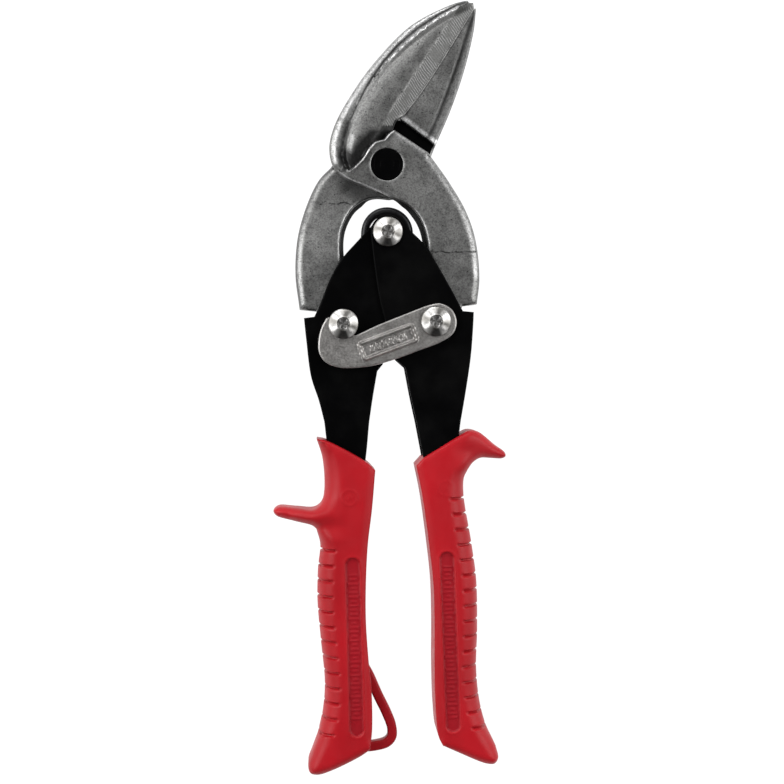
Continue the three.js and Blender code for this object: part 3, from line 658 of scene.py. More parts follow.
def relief(shell, rows, top, bottom, spacing=0.7, holes=(), creases=(), dense=None, slot_of=None,
           bottom_spacing=None, wall_slot=None, draft=None):
    """Closed body over an outline. rows are x, y and the width and depth of the edge's rounding;
    top and bottom give heights from x and y; a hole is a centre and a list of (radius, height), top first.
    slot_of and wall_slot choose material slots; draft(x, y) is how far the wall flares towards the back."""
    width = rows[:, 2]
    inner = ring_inset(rows, RING_INSETS[-1])
    middle = (top(inner[:, 0], inner[:, 1]) - bottom(inner[:, 0], inner[:, 1])) / 2
    depth = np.minimum(rows[:, 3], middle)
    ends = []
    for face, sign in ((top, 1), (bottom, -1)):
        if sign < 0 and draft:
            rows = np.column_stack([ring_inset(rows, -draft(rows[:, 0], rows[:, 1])), rows[:, 2:]])
            inner = ring_inset(rows, RING_INSETS[-1])
        loops = [circle(centre, steps[0 if sign > 0 else -1][0]) for centre, steps in holes]
        gap = spacing if sign > 0 else bottom_spacing or spacing
        lines = list(creases) if sign > 0 else []
        places, triangles, borders = triangulate(inner, loops, lines, gap, dense)
        x, y = places[:, 0], places[:, 1]
        away, near = nearest(x, y, rows[:, :2])
        points = shell.add(np.column_stack([x, y, face(x, y) - sign * drop(away, width[near], depth[near])]))
        centre = places[triangles].mean(axis=1)
        slots = slot_of(centre[:, 0], centre[:, 1], sign) if slot_of else np.zeros(len(triangles), int)
        for triangle, slot in zip(triangles[:, ::sign], slots):
            shell.face(*(points[i] for i in triangle), slot=int(slot))
        rings = [[points[i] for i in borders[0]]]
        for inset in RING_INSETS[-2::-1]:
            z = face(inner[:, 0], inner[:, 1]) - sign * drop(inset, width, depth)
            rings.append(shell.add(np.column_stack([ring_inset(rows, inset), z])))
        for upper, lower in zip(rings, rings[1:]):
            shell.join(*((lower, upper) if sign > 0 else (upper, lower)))
        ends.append((rings[-1], [[points[i] for i in border] for border in borders[1:]]))
    (top_ring, top_holes), (bottom_ring, bottom_holes) = ends
    shell.join(bottom_ring, top_ring, wall_slot(rows[:, 0], rows[:, 1]).tolist() if wall_slot else None)
    for (centre, steps), high, low in zip(holes, top_holes, bottom_holes):
        rings = [high]
        for radius, z in steps[1:-1]:
            loop = circle(centre, radius)
            rings.append(shell.add(np.column_stack([loop, np.full(len(loop), z)])))
        for upper, lower in zip(rings, rings[1:] + [low]):
            shell.join(upper, lower)
    return shell


# ---- blades ----

FRONT_EDGE = [[5.6, 15.9], [10.4, 22.2], [17.3, 32.6], [22.6, 41.2], [27.6, 49.4]]
CUT_START, CUT_END = FRONT_EDGE[0], FRONT_EDGE[-1]
OVERLAP = 1.2  # how far the rear edge lies behind the front one
REAR_EDGE = [[x - OVERLAP, y] for x, y in FRONT_EDGE]
REAR_CUT = (4.4, 15.9), (26.4, 49.4)
REAR_BACK = (12.9, 8.9), (27.7, 48.4)  # the right jaw's face slopes down beyond this line
FRONT_LAP = (20, -6), (6, -13)  # beyond these lines the forgings thicken again after the half lap
REAR_LAP, REAR_LAP_LENGTH = ((0.9, -10), (-20.7, -6.5)), 24
EDGE_LAND, STRIP_SLOPE = 0.35, 0.5875
DISH_DEPTH, DISH_SLOPE = 2.0, 0.17
TANG_R, TANG_EDGE = 6.4, 0.8
THIN = 0.3  # rounding at a cutting edge
TIP = 0.5  # rounding at the tips
BOW = 2.6  # rounding of the bows' outer edges
JAW = 3.7, 2.2  # width and depth of the left jaw's rounding
BOLT_R, FRONT_BORE_R, REAR_BORE_R = 3.75, 3.45, 3.15
SEAT_R, SEAT_Z = 4.95, 1.8  # the bolt's flat head is let into the front forging down to here
OUTLINE_STEP = 0.6
STRIP_WIDTH = 4.1
SLOT_FLOOR = -1.9
BLADE_GRID, BLADE_BACK_GRID = 0.75, 1.4

RIM = spline(RIM_POINTS, 0.7)
BOSS_EDGE = spline([[-12.9, -1.2], [-11.7, -2.2], *BOSS_LINE[1:], [3.4, 11.2]], 0.7)
DISH = np.concatenate([RIM, BOSS_EDGE, [[12, 14], [36, 50], [30, 54]]])
STRIP_LINE = spline([[3.3, 15.4], [5.2, 20.6], [7.9, 25.1], [14.5, 34.6], [19.9, 42.5], [22.6, 46.6],
                     [24.4, 49.4]], 0.7)
LEDGE = [[2.8, 16.5], [15.8, 6.8]]
SLOT = np.array([*LEDGE, [14.5, 1.5], [10.0, 1.5], [1.0, 8.0]])
GROOVE = spline(GROOVE_POINTS, 0.7)

WINDOW_AT, WINDOW_STRETCH, WINDOW_R = (-0.8, -26), 1.35, 17
DRAFT = 1.1


def from_window(x, y):
    """Distance to the middle of the window between the bows, which is taller than it is wide."""
    return np.hypot(x - WINDOW_AT[0], (y - WINDOW_AT[1]) / WINDOW_STRETCH)


def in_window(x, y):
    """1 where an outline point borders the window or the slot at the boss, else 0."""
    window = (from_window(x, y) < WINDOW_R) & (y < -8)
    slot = (y > 1.5) & (y < 16.5) & (x > 1.5) & (x < 13.4)
    return (window | slot).astype(int)


def window_draft(x, y):
    """Draft of the walls around the window between the bows."""
    inward = smooth((WINDOW_R - from_window(x, y)) / 2)
    beside_middle = smooth((np.abs(x - WINDOW_AT[0]) - 2) / 5)
    return DRAFT * inward * beside_middle * smooth((-9.3 - y) / 2.5)


def front_blade():
    """Left jaw, boss and right bow, with the ground strip along the cutting edge."""
    rows = outline(
        OUTLINE_STEP,
        [[27.2, 51.2, 0.4, 0.4], [24.6, 51, 0.7, 0.6], [20.3, 49.9, 1.3, 1.0], [7.7, 43.4, 2.2, 1.5],
         [-3.2, 32.6, 3.4, 2.1], [-10.8, 22.2, *JAW], [-16.3, 12.1, *JAW], [-17.9, 5.3, *JAW],
         [-16.9, -0.3, *JAW], [-15.1, -2.4, *JAW]],
        edged([[-15.1, -2.4], [-12.1, -4.6], [-4.1, -7.7], [0.9, -10.1], [5.8, -12.1], [9, -14.9],
               [11.4, -19], [12.7, -25], [12, -34], [9.4, -42], [8.6, -48.9]], 1.0),
        arc(RIGHT_TANG_PIVOT, TANG_R, 180, 335, TANG_EDGE),
        (TANG_EDGE, [[20.8, -51.6]]),
        (0.9, [[23.6, -43.9]]),
        (BOW, [[28.3, -43.3], [29.1, -35], [27.8, -23], [24.7, -14], [19.5, -5.2]]),
        (1.2, [[13.6, 3]]),
        (1.1, [[12.8, 3.9]]),
        (0.5, [[2, 11], [3.4, 14.3]]),
        (THIN, FRONT_EDGE[:-1]),
        (TIP, FRONT_EDGE[-1:]),
    )

    def top(x, y):
        across = side_of(x, y, CUT_START, CUT_END)
        near_rim, near_boss = distance(x, y, RIM), distance(x, y, BOSS_EDGE)
        hollow = 0.4 * smooth(near_rim / 4.0) * (1 - smooth((near_rim - 4.5) / 13)) * smooth((across - 4) / 4)
        strip = EDGE_LAND + STRIP_SLOPE * np.maximum(across, 0)
        dish = np.minimum(DISH_DEPTH + DISH_SLOPE * across - hollow, strip)
        weight = smooth(np.minimum(near_rim / 1.5, near_boss / 0.9)) * inside(x, y, DISH)
        face = FRONT_TOP - 0.25 * smooth(1 - near_rim / 2.4) * (1 - inside(x, y, DISH))
        face = face + 0.16 * np.exp(-((near_boss / 0.28) ** 2)) * (near_rim > 1)
        return face + (np.minimum(dish, face) - face) * weight

    def bottom(x, y):
        return np.maximum(FRONT_BOTTOM, LAP - np.maximum(side_of(x, y, *FRONT_LAP), 0))

    def slot_of(x, y, sign):
        strip = (side_of(x, y, CUT_START, CUT_END) < STRIP_WIDTH) & inside(x, y, DISH) & (y > 12.6)
        return np.where(strip & (sign > 0), 1, 0)

    def dense(x, y):
        return np.minimum(distance(x, y, BOSS_EDGE), distance(x, y, RIM)) < 2.2

    mouth = [(SEAT_R + 0.4, FRONT_TOP), (SEAT_R + 0.15, FRONT_TOP - 0.12), (SEAT_R, FRONT_TOP - 0.4)]
    holes = [
        ((0, 0), [*mouth, (SEAT_R, SEAT_Z), (BOLT_R, SEAT_Z), (BOLT_R, LAP)]),
        (RIGHT_TANG_PIVOT, [(FRONT_BORE_R, FRONT_TOP), (FRONT_BORE_R, FRONT_BOTTOM)]),
    ]
    creases = [STRIP_LINE[:-1], RIM[2:-1], BOSS_EDGE[1:-1]]
    # The walls round the window and the slot take the near-black scale and painted shade.
    shell = relief(Shell(), rows, top, bottom, BLADE_GRID, holes, creases, dense, slot_of, BLADE_BACK_GRID,
                   lambda x, y: 2 * in_window(x, y), window_draft)
    piece = make("front_blade_forging", shell, "front_blade_group", [FRONT_STEEL, STRIP, SCALE])
    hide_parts("front_blade")


def rear_blade():
    """Right jaw, boss and left bow, with the slot below the jaw's heel."""
    rows = outline(
        OUTLINE_STEP,
        (0.7, [[28.3, 49.8], [27.6, 43], [24.5, 30.1], [20.3, 17.9], [15.6, 6.9], [13.3, 1], [11.8, -3.4],
               [8.4, -7.4], [4.6, -9.5]]),
        edged([[0.9, -10.2], [-3, -9.9], [-6.4, -10.5], [-9.9, -12.7], [-12.3, -15.9], [-14.2, -21],
               [-14.4, -28], [-12.8, -36], [-9, -43.5], [-7.2, -49.7]], 1.0),
        arc(LEFT_TANG_PIVOT, TANG_R, 0, -155, TANG_EDGE),
        (TANG_EDGE, [[-19.4, -52.4]]),
        (0.9, [[-22, -45.5]]),
        (BOW, LEFT_SIDE[:-1]),
        edged([[-17.1, 0], [-12, 4], [-6.5, 9.5], [-1, 13], [4.4, 15.9]], 0.8),
        edged(REAR_EDGE, THIN),
        (TIP, [[*REAR_CUT[1]]]),
    )

    def top(x, y):
        lap = -LAP + (REAR_TOP + LAP) * smooth(side_of(x, y, *REAR_LAP) / REAR_LAP_LENGTH)
        near_groove = distance(x, y, GROOVE)
        outer = -side_of(x, y, *REAR_BACK)
        bevel = -0.1 - 0.15 * np.clip(outer, 0, 9) - 0.15 * np.exp(-((near_groove / 0.6) ** 2))
        face = np.where(y > 4, np.minimum(lap, bevel), lap)
        weight = np.where(inside(x, y, SLOT), smooth(distance(x, y, LEDGE) / 1.1), 0)
        return face + (SLOT_FLOOR - face) * weight

    def across(x, y):
        return -side_of(x, y, *REAR_CUT)

    def bottom(x, y):
        ground = -EDGE_LAND - STRIP_SLOPE * np.maximum(across(x, y), 0)
        return np.where((y > 14) & (across(x, y) < 7), np.maximum(REAR_BOTTOM, ground), REAR_BOTTOM)

    def slot_of(x, y, sign):
        # The slot's floor below the jaw's heel takes the black coat as painted shade.
        if sign > 0:
            return 2 * (inside(x, y, SLOT) & (distance(x, y, LEDGE) > 0.45))
        return ((y > 14) & (across(x, y) < STRIP_WIDTH + 0.1)).astype(int)

    def dense(x, y):
        return (distance(x, y, GROOVE) < 1.2) | (distance(x, y, LEDGE) < 2)

    holes = [
        ((0, 0), [(BOLT_R, -LAP), (BOLT_R, REAR_BOTTOM)]),
        (LEFT_TANG_PIVOT, [(REAR_BORE_R, REAR_TOP), (REAR_BORE_R, REAR_BOTTOM)]),
    ]
    # The walls round the window and the slot take the near-black scale and painted shade.
    shell = relief(Shell(), rows, top, bottom, BLADE_GRID, holes, [GROOVE[1:-1]], dense, slot_of,
                   BLADE_BACK_GRID, lambda x, y: 3 * in_window(x, y), window_draft)
    piece = make("rear_blade_forging", shell, "rear_blade_group", [REAR_STEEL, STRIP, OXIDE_AND_SLOT_SHADE, SCALE])
    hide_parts("rear_blade")


# ---- handle channels ----

FOLD = 0.45  # rounding of the stamped edges
EYE_R = 5.3
TAIL_END = -112
WEB_INSET = 0.25  # the web stays this far inside the plates' outer faces
LEFT_PLATES = (-6.4, -4.9), (3.3, 4.8)  # lowest and highest z of the back and the front plate
RIGHT_PLATES = (-4.8, -3.3), (4.9, 6.4)


def channel(name, node, body, side, plates, eye, runs):
    """Stamped channel: two plates with an eye about the handle pivot, and the web that joins them along the
    outer edge, which is the third and fourth run after the eye."""
    shell = Shell()
    rows = outline(1.2, arc(HANDLE_PIVOT, EYE_R, *eye, FOLD), *((FOLD, run) for run in runs[:-1]),
                   edged(runs[-1], FOLD))
    for low, high in plates:
        relief(shell, rows, level(high), level(low), 4.0)
    edge = np.array(runs[2] + runs[3] + runs[4]) - [side * WEB_INSET, 0]
    loop = np.concatenate([edge, (edge - [side * PLATE, 0])[::-1]])
    loop = loop if area(loop) > 0 else loop[::-1]
    rows = outline(1.2, *((0.2, [corner]) for corner in loop.tolist()))
    back, front = plates[0][0] + WEB_INSET, plates[1][1] - WEB_INSET
    web = relief(Shell(), rows, level(front), level(back), 3.0)
    piece = make(name, shell, body, [BLACK])
    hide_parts(node)
    wall = make(name + "_web", web, body, [BLACK])


def left_channel():
    channel("left_handle_channel", "left_handle_frame", "left_handle_group", -1, LEFT_PLATES, (-10, 155), [
        [[-4.6, -18.9], [-9, -23.7], [-14.1, -29.5], [-17.5, -35.3], [-21.1, -44.3]],
        [[-22.6, -47.4]],
        [[-25.8, -47.8], [-25.1, -54.5], [-23.6, -66], [-21.2, -73.4]],
        [[-19.5, -80], [-18.5, -88], [-16.5, -98]],
        [[-16, TAIL_END]],
        [[-9, TAIL_END], [-8.6, -102], [-6.7, -92.2]],
        [[-5.5, -80], [-4.4, -72.5]],
        [[-3, -64.3]],
        [[-1.3, -62.2], [1.5, -45], [4, -30], [5.42, -22]],
    ])


def right_channel():
    channel("right_handle_channel", "right_handle_frame", "right_handle_group", 1, RIGHT_PLATES, (185, 30), [
        [[4.8, -18.45], [7.5, -20.9], [12.3, -25.8], [15.9, -31.7], [19.6, -38.2]],
        [[23.6, -45.6]],
        [[27, -45.9], [26.8, -50.4], [26.1, -59.5], [24.6, -70]],
        [[22.9, -80], [21.9, -88], [20.2, -98]],
        [[20, TAIL_END]],
        [[14.6, TAIL_END], [13.6, -104], [11.4, -92]],
        [[9.1, -80], [7.5, -72.7]],
        [[5.7, -63.3]],
        [[2.9, -60.8], [-2, -43.5], [-3.9, -31.9], [-5.08, -21.56]],
    ])


# ---- grips ----

SIDE = 6, 9.2  # width and depth of the fully rounded outer side
SEAM = 0.9  # rounding of the square inner edge
FACE_INSET = 0.35  # the faces lie this far inside the CAD grips
GROOVE_PITCH, GROOVE_WIDTH, GROOVE_DEPTH, GROOVE_REACH = 4.76, 0.7, 0.8, 5.4
PANEL_HALF_WIDTH, PANEL_DEPTH, PANEL_RIM = 2.35, 0.65, 0.12
LEFT_PANEL = (-10.75, -124.3), (-9.5, -175.4)
RIGHT_PANEL = (18.5, -122.6), (20.5, -174.3)
BAR_PITCH, BAR_FILL, BAR_RISE = 1.35, 0.6, 0.22
MARK_R, LEFT_MARK, RIGHT_MARK = 2.4, (-11.7, -103.4), (18.2, -100.7)
LEFT_GROOVES, RIGHT_GROOVES = (-120.0, 13), (-104.0, 16)  # y of the first groove and their number
GRIP_STEP, GRIP_GRID = 0.33, 0.8
LOOP_Z, LOOP_SECTION = -1.5, (3.0, 4.0, 0.7)


def beside(x, y, start, end):
    """Distances along and across a line from its start, and the line's length."""
    axis = np.subtract(end, start)
    length = np.linalg.norm(axis)
    axis = axis / length
    dx, dy = x - start[0], y - start[1]
    return dx * axis[0] + dy * axis[1], dx * -axis[1] + dy * axis[0], length


def panel(x, y, start, end):
    """Relief of a long recess with a raised rim and short raised bars in it."""
    along, across, length = beside(x, y, start, end)
    beyond = np.hypot(across, along - np.clip(along, 0, length)) - PANEL_HALF_WIDTH
    height = PANEL_RIM * np.exp(-(((beyond - 0.3) / 0.32) ** 2)) - PANEL_DEPTH * smooth(-beyond / 0.35)
    from_middle = along - length / 2
    phase = np.abs(from_middle / BAR_PITCH % 1 - 0.5) * 2
    reach = 1.35 + 0.45 * np.sin(2.4 * np.floor(from_middle / BAR_PITCH))
    bar = smooth((BAR_FILL - phase) / 0.3) * smooth((reach - np.abs(across)) / 0.35)
    return height + BAR_RISE * bar * (np.abs(from_middle) < length * 0.46)


def mark(x, y, centre):
    """Relief of a small moulded ring with a dot."""
    away = np.hypot(x - centre[0], y - centre[1])
    return 0.14 * np.exp(-(((away - MARK_R) / 0.3) ** 2)) + 0.1 * smooth((0.9 - away) / 0.4)


def ridge(x, y, start, end, height, width, fade):
    """Soft ridge along a line, fading out over a length at its end."""
    along, across, length = beside(x, y, start, end)
    return height * np.exp(-((across / width) ** 2)) * smooth((length - along) / fade)


def seam_fall(x, y, seam):
    """How a face falls away towards the grip's inner edge."""
    return -0.45 * smooth(1 - distance(x, y, seam) / 2.6)


def press_grooves(shell, side, edge_x, first_y, count):
    """Presses the finger grooves into a grip's outer side, at right angles to its surface."""
    points = np.concatenate(shell.verts)
    normal = np.zeros_like(points)
    for face in shell.faces:
        a, b, c = points[face[0]], points[face[1]], points[face[2]]
        n = np.cross(b - a, c - a)
        for i in face:
            normal[i] += n
    normal /= np.maximum(np.linalg.norm(normal, axis=1), 1e-9)[:, None]
    x, y = points[:, 0], points[:, 1]
    phase = (first_y - y) / GROOVE_PITCH
    off = np.abs(phase - np.clip(np.round(phase), 0, count - 1)) * GROOVE_PITCH
    inward = side * (edge_x(y) - x)
    amount = smooth((GROOVE_WIDTH / 2 + 0.2 - off) / 0.35) * smooth((GROOVE_REACH - inward) / 1.2)
    shell.verts = [points - normal * (GROOVE_DEPTH * amount)[:, None]]


def grip(name, body, side, rows, outer, details, panel_ends, mark_at, grooves):
    """Moulded grip: the same details on its front and back, and grooves in its outer side, the run outer."""
    falling = outer if outer[0][1] > outer[-1][1] else outer[::-1]
    edge = spline([row[:2] for row in falling], 0.5)[::-1]

    def edge_x(y):
        return np.interp(y, edge[:, 1], edge[:, 0])

    def top(x, y):
        return GRIP_FRONT - FACE_INSET + details(x, y)

    def bottom(x, y):
        return np.maximum(GRIP_BACK + 0.01, GRIP_BACK + FACE_INSET - details(x, y))

    def dense(x, y):
        grooved = side * (edge_x(y) - x) < GROOVE_REACH + 0.6
        grooved &= (y < edge[:, 1].max()) & (y > edge[:, 1].min())
        near_panel = distance(x, y, panel_ends) < PANEL_HALF_WIDTH + 1.4
        return grooved | near_panel | (np.hypot(x - mark_at[0], y - mark_at[1]) < MARK_R + 1)

    def slot_of(x, y, sign):
        # The recessed panel takes the darker red: painted shade.
        return (distance(x, y, panel_ends) < PANEL_HALF_WIDTH - 0.2).astype(int)

    shell = relief(Shell(), rows, top, bottom, GRIP_GRID, dense=dense, slot_of=slot_of)
    press_grooves(shell, side, edge_x, *grooves)
    return make(name, shell, body, [RED, PANEL_SHADE_RED], sharp=50)


def left_grip():
    """Left grip with its finger stop."""
    outer = [[-21.6, -178.5, 4.5, 7], [-19.9, -170, *SIDE], [-19.4, -162, *SIDE], [-20.6, -149, *SIDE],
             [-21.7, -136, *SIDE], [-21.5, -126, *SIDE], [-20.8, -118.5, 5.5, 8.5], [-22.0, -113.6, 4, 6]]
    stop = [outer[-1], [-23.4, -112.4, 3, 5], [-29.2, -111, 2.4, 4.5], [-34.5, -109.4, 2, 4],
            [-35.4, -107.8, 2, 4], [-33.8, -106.5, 2, 4], [-28.1, -106.9, 2.4, 4.5], [-22.9, -107.2, 3, 5],
            [-20.4, -105.2, 4.5, 7], [-19.5, -101, *SIDE], [-20, -92, 5, 8], [-21.9, -85.2, 2.0, 3]]
    butt = [[-5.4, -182, 1.5, 1.5], [-8.5, -184.4, 2.5, 3], [-17.3, -188.9, 3, 4.5], [-21.6, -190.2, 3, 5],
            [-24, -189.6, 3, 5], [-24.6, -187.2, 3.2, 5.5], [-23.4, -183.5, 4, 6], outer[0]]
    rows = outline(
        GRIP_STEP,
        (1.0, [[-21.9, -85.2], [-19, -85.8], [-6.3, -92.6]]),
        (SEAM, [[-3.7, -95.1], [-4.7, -107], [-6, -118], [-6.6, -130], [-6.6, -142], [-5.7, -155],
                [-4.9, -163], [-4.7, -176]]),
        butt,
        outer,
        stop,
    )

    def details(x, y):
        crest = ridge(x, y, (-34.5, -108.3), (-11.0, -108.9), 0.55, 1.7, 10)
        valley = ridge(x, y, (-33, -112.2), (-10.0, -112.9), -0.55, 1.8, 9)
        second = ridge(x, y, (-24, -116.4), (-9.0, -116.6), 0.35, 2.0, 8)
        thin = -3.2 * smooth((-21.5 - x) / 13) * (y > -114)
        inner = [[-3.7, -95.1], [-6, -118], [-6.6, -136], [-5.7, -155], [-4.8, -178]]
        face = seam_fall(x, y, inner) + crest + valley + second + thin
        return face + panel(x, y, *LEFT_PANEL) + mark(x, y, LEFT_MARK)

    piece = grip("left_grip_moulding", "left_handle_group", -1, rows, outer, details, LEFT_PANEL,
                 LEFT_MARK, LEFT_GROOVES)
    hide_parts("left_grip")


def lanyard_loop():
    """Moulded loop on the left grip's inner side."""
    points = [[-7.5, -156.5], [-5.3, -160.5], [-2.6, -166.6], [0.2, -172.4], [1.7, -176.6], [1.7, -179.6],
              [0.2, -181.4], [-3, -182.4], [-9.5, -183.0]]
    path = spline([[x, y, LOOP_Z] for x, y in points], 0.5)
    shell = sweep(path, soft_box_section(*LOOP_SECTION))
    # The loop takes the darker red: painted shade.
    ring = make("lanyard_loop", shell, "left_handle_group", [SHADED_LOOP_RED], sharp=50)


def right_grip():
    """Right grip with its thumb rest."""
    outer = [[25.4, -95.2, 4, 6], [24.4, -98, 5.5, 8.5], [24.4, -103.5, *SIDE], [26.8, -118, *SIDE],
             [28.4, -130, *SIDE], [28.7, -145, *SIDE], [28.4, -158, *SIDE], [29.4, -168, *SIDE],
             [31.3, -175.5, 5, 8], [34.3, -182, 4, 6]]
    rest = [[11.2, -91.2, 1, 1], [22.9, -84.1, 1.4, 1.8], [25.7, -82.7, 2, 3], [28.6, -83.2, 2.4, 4],
            [34, -87.3, 2.4, 4.5], [37.4, -89.9, 2, 4], [37.7, -91.1, 2, 4], [36.6, -91.8, 2, 4],
            [33, -91.7, 2.4, 4.5], [29.5, -91.6, 3, 5], [27.0, -93.0, 3.5, 5.5], outer[0]]
    butt = [outer[-1], [35, -185.5, 3, 5], [33.8, -187.3, 3, 5], [31.2, -187.3, 3, 5],
            [21.9, -183.2, 2.5, 3], [17.4, -180.9, 1.5, 1.5]]
    rows = outline(
        GRIP_STEP,
        (1.0, [[9, -93.6]]),
        rest,
        outer,
        butt,
        (SEAM, [[17.4, -180.9], [16, -178], [15.1, -170], [14.7, -157], [14.7, -142], [14.3, -130],
                [13.1, -119], [10.9, -103]]),
    )

    def details(x, y):
        inner = [[9, -93.6], [10.9, -103], [13.1, -119], [14.5, -136], [14.7, -157], [16, -178]]
        thin = -4.0 * smooth((x - 23.5) / 13) * (y > -96)
        valley = ridge(x, y, (36, -91.5), (19.0, -88.6), -0.9, 2.6, 8)
        face = seam_fall(x, y, inner) + thin + valley
        return face + panel(x, y, *RIGHT_PANEL) + 0.5 * mark(x, y, RIGHT_MARK)

    piece = grip("right_grip_moulding", "right_handle_group", 1, rows, outer, details, RIGHT_PANEL,
                 RIGHT_MARK, RIGHT_GROOVES)
    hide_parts("right_grip")


# ---- latch ----

EMBOSS_CENTRE, EMBOSS_TURN, EMBOSS_HALF = (0.2, -55.4), math.radians(20.3), (9.2, 3.1)
EMBOSS_WALL, EMBOSS_RISE, EMBOSS_CORNER = 1.2, 1.0, 0.7
LATCH_BORE_R = 2.55


def latch():
    """Stamped latch: hook at one end, eye at the other, raised frame with bars between."""
    rows = outline(
        0.4,
        (0.55, [[-18.9, -48], [-20.4, -50.9], [-21.3, -55], [-21.1, -58.6], [-19.3, -61.4], [-15.6, -63.1],
                [-11.1, -63.4], [-4.8, -62.7], [1.6, -60.9], [9.2, -58.2], [17.4, -54.9], [20.6, -52.4],
                [21.5, -48.9], [20, -45.2], [16.5, -43.3], [13, -43.8], [6.1, -46.4], [-2.9, -50]]),
        (0.4, [[-9.7, -53.2], [-11.4, -53], [-13.4, -53], [-15.4, -52.3], [-16.6, -50.9], [-17.2, -49]]),
        (0.4, [[-17.8, -47.6]]),
    )

    def local(x, y):
        dx, dy = x - EMBOSS_CENTRE[0], y - EMBOSS_CENTRE[1]
        c, s = math.cos(EMBOSS_TURN), math.sin(EMBOSS_TURN)
        return np.abs(dx * c + dy * s), np.abs(-dx * s + dy * c)

    def top(x, y):
        u, v = local(x, y)
        qx = u - EMBOSS_HALF[0] + EMBOSS_CORNER + EMBOSS_WALL / 2
        qy = v - EMBOSS_HALF[1] + EMBOSS_CORNER + EMBOSS_WALL / 2
        beyond = np.hypot(np.maximum(qx, 0), np.maximum(qy, 0)) + np.minimum(np.maximum(qx, qy), 0)
        wall = smooth((EMBOSS_WALL / 2 + 0.2 - np.abs(beyond - EMBOSS_CORNER)) / 0.7)
        phase = np.abs(u / 2.1 % 1 - 0.5) * 2
        bars = smooth((0.66 - phase) / 0.3) * smooth((1.25 - v) / 0.35) * (u < 6.3)
        return LATCH_TOP + EMBOSS_RISE * np.maximum(wall, 0.55 * bars)

    def dense(x, y):
        u, v = local(x, y)
        return (u < EMBOSS_HALF[0] + 1) & (v < EMBOSS_HALF[1] + 1)

    eye = (RIGHT_TANG_PIVOT, [(LATCH_BORE_R, LATCH_TOP), (LATCH_BORE_R, LATCH_Z)])
    shell = relief(Shell(), rows, top, level(LATCH_Z), 0.55, [eye], dense=dense, bottom_spacing=1.5)
    piece = make("latch_stamping", shell, "latch_group", [STAMPED])
    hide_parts("latch")


# ---- fasteners and spring ----

HEAD_R, HEAD_RISE, SHANK_R = 4.65, 2.2, 2.4
RECESS_R, RECESS_DEPTH, LOBES = 1.75, 0.9, 6
WAVE, WAVES = 0.05, 8  # shallow waves round the domed heads
NUT_EDGE, WASHER_EDGE = 0.3, 0.08
WIRE_R, COIL_R, COIL_HALF = 1.2, 6.95, 1.8


def lathe(profile, lobed=(), sides=96):
    """Turned body from (radius, height) pairs, closed at both ends; rings listed in lobed are six-lobed."""
    angles = np.linspace(0, 2 * math.pi, sides, endpoint=False)
    shell, rings = Shell(), []
    for k, (radius, z) in enumerate(profile):
        r = radius * (1 + 0.15 * np.cos(LOBES * angles)) if k in lobed else np.full(sides, radius)
        rings.append(shell.add(np.column_stack([r * np.cos(angles), r * np.sin(angles), np.full(sides, z)])))
    return shell.tube(rings)


def domed_screw(node, pivot, body):
    """Low conical head with a ring and a small six-lobe recess, on a plain shank."""
    bottom, top = heights(node)
    under = top - HEAD_RISE
    shoulder = HEAD_R - 0.35
    dome = [(HEAD_R - 0.04, under + 0.85), (HEAD_R - 0.14, under + 1.02), (shoulder, under + 1.17)]
    dome += [(r, under + 1.17 + (shoulder - r) * 0.42 - 0.012 * (shoulder - r) ** 2)
             for r in np.linspace(HEAD_R - 0.7, 2.15, 6)]
    profile = [
        (SHANK_R - 0.3, bottom), (SHANK_R, bottom + 0.3), (SHANK_R, under), (HEAD_R - 0.15, under),
        (HEAD_R, under + 0.15), (HEAD_R, under + 0.6), *dome,
        (RECESS_R + 0.3, top - 0.12), (RECESS_R + 0.22, top - 0.34), (RECESS_R + 0.05, top - 0.36),
        (RECESS_R - 0.2, top - 0.34), (RECESS_R - 0.32, top - 0.42), (RECESS_R - 0.42, top - RECESS_DEPTH),
        (0.5, top - RECESS_DEPTH - 0.1),
    ]
    shell = lathe(profile, range(len(profile) - 4, len(profile) - 1))
    points = np.concatenate(shell.verts)
    radius, angle = np.hypot(points[:, 0], points[:, 1]), np.arctan2(points[:, 1], points[:, 0])
    on_dome = smooth((radius - 2.2) / 0.6) * smooth((HEAD_R - 0.1 - radius) / 0.5)
    points[:, 2] += WAVE * np.cos(WAVES * angle + 0.6) * on_dome * (points[:, 2] > under + 0.5)
    place = np.array([*pivot, 0])
    shell.verts = [points + place]
    piece = make(node + "_turned", shell, body, [TURNED], sharp=28, place=place)
    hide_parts(node)


def pivot_bolt():
    """Black bolt whose flat head lies flush in the front blade."""
    bottom, top = heights("blade_pivot_bolt")
    profile = [
        (3.2, bottom), (3.6, bottom + 0.4), (3.6, 1.9), (4.8, 1.9), (4.85, 2.0), (4.85, top - 0.2),
        (4.7, top), (4.1, top), (4.0, top - 0.08), (3.9, top), (2.2, top), (2.1, top - 0.08), (2.0, top),
        (0.4, top - 0.05),
    ]
    piece = make("blade_pivot_bolt_turned", lathe(profile), "rear_blade_group", [OXIDE_AND_SLOT_SHADE], sharp=28)
    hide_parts("blade_pivot_bolt")


def torsion_spring():
    """One bent wire: left leg, coil about the handle pivot, right leg."""
    px, py = HANDLE_PIVOT
    left = [[-20.4, -67], [-15, -65], [-8, -59], [-5.2, -51], [-5.6, -40], [-6.8, -28]]
    right = [[7.1, -28], [6.4, -40], [6.3, -51], [9, -59], [16, -65.5], [21.9, -67.5]]
    turns = np.linspace(0, 1, 25)
    angles = math.pi * (1 - 3 * turns)
    z = COIL_HALF - 2 * COIL_HALF * turns
    coil = np.stack([px + COIL_R * np.cos(angles), py + COIL_R * np.sin(angles), z], axis=1)
    points = [[x, y, COIL_HALF] for x, y in left] + coil.tolist() + [[x, y, -COIL_HALF] for x, y in right]
    shell = sweep(spline(points, 0.7), circle((0, 0), WIRE_R, 14))
    piece = make("torsion_spring_wire", shell, None, [WIRE], sharp=50)
    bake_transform(piece)
    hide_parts("torsion_spring")


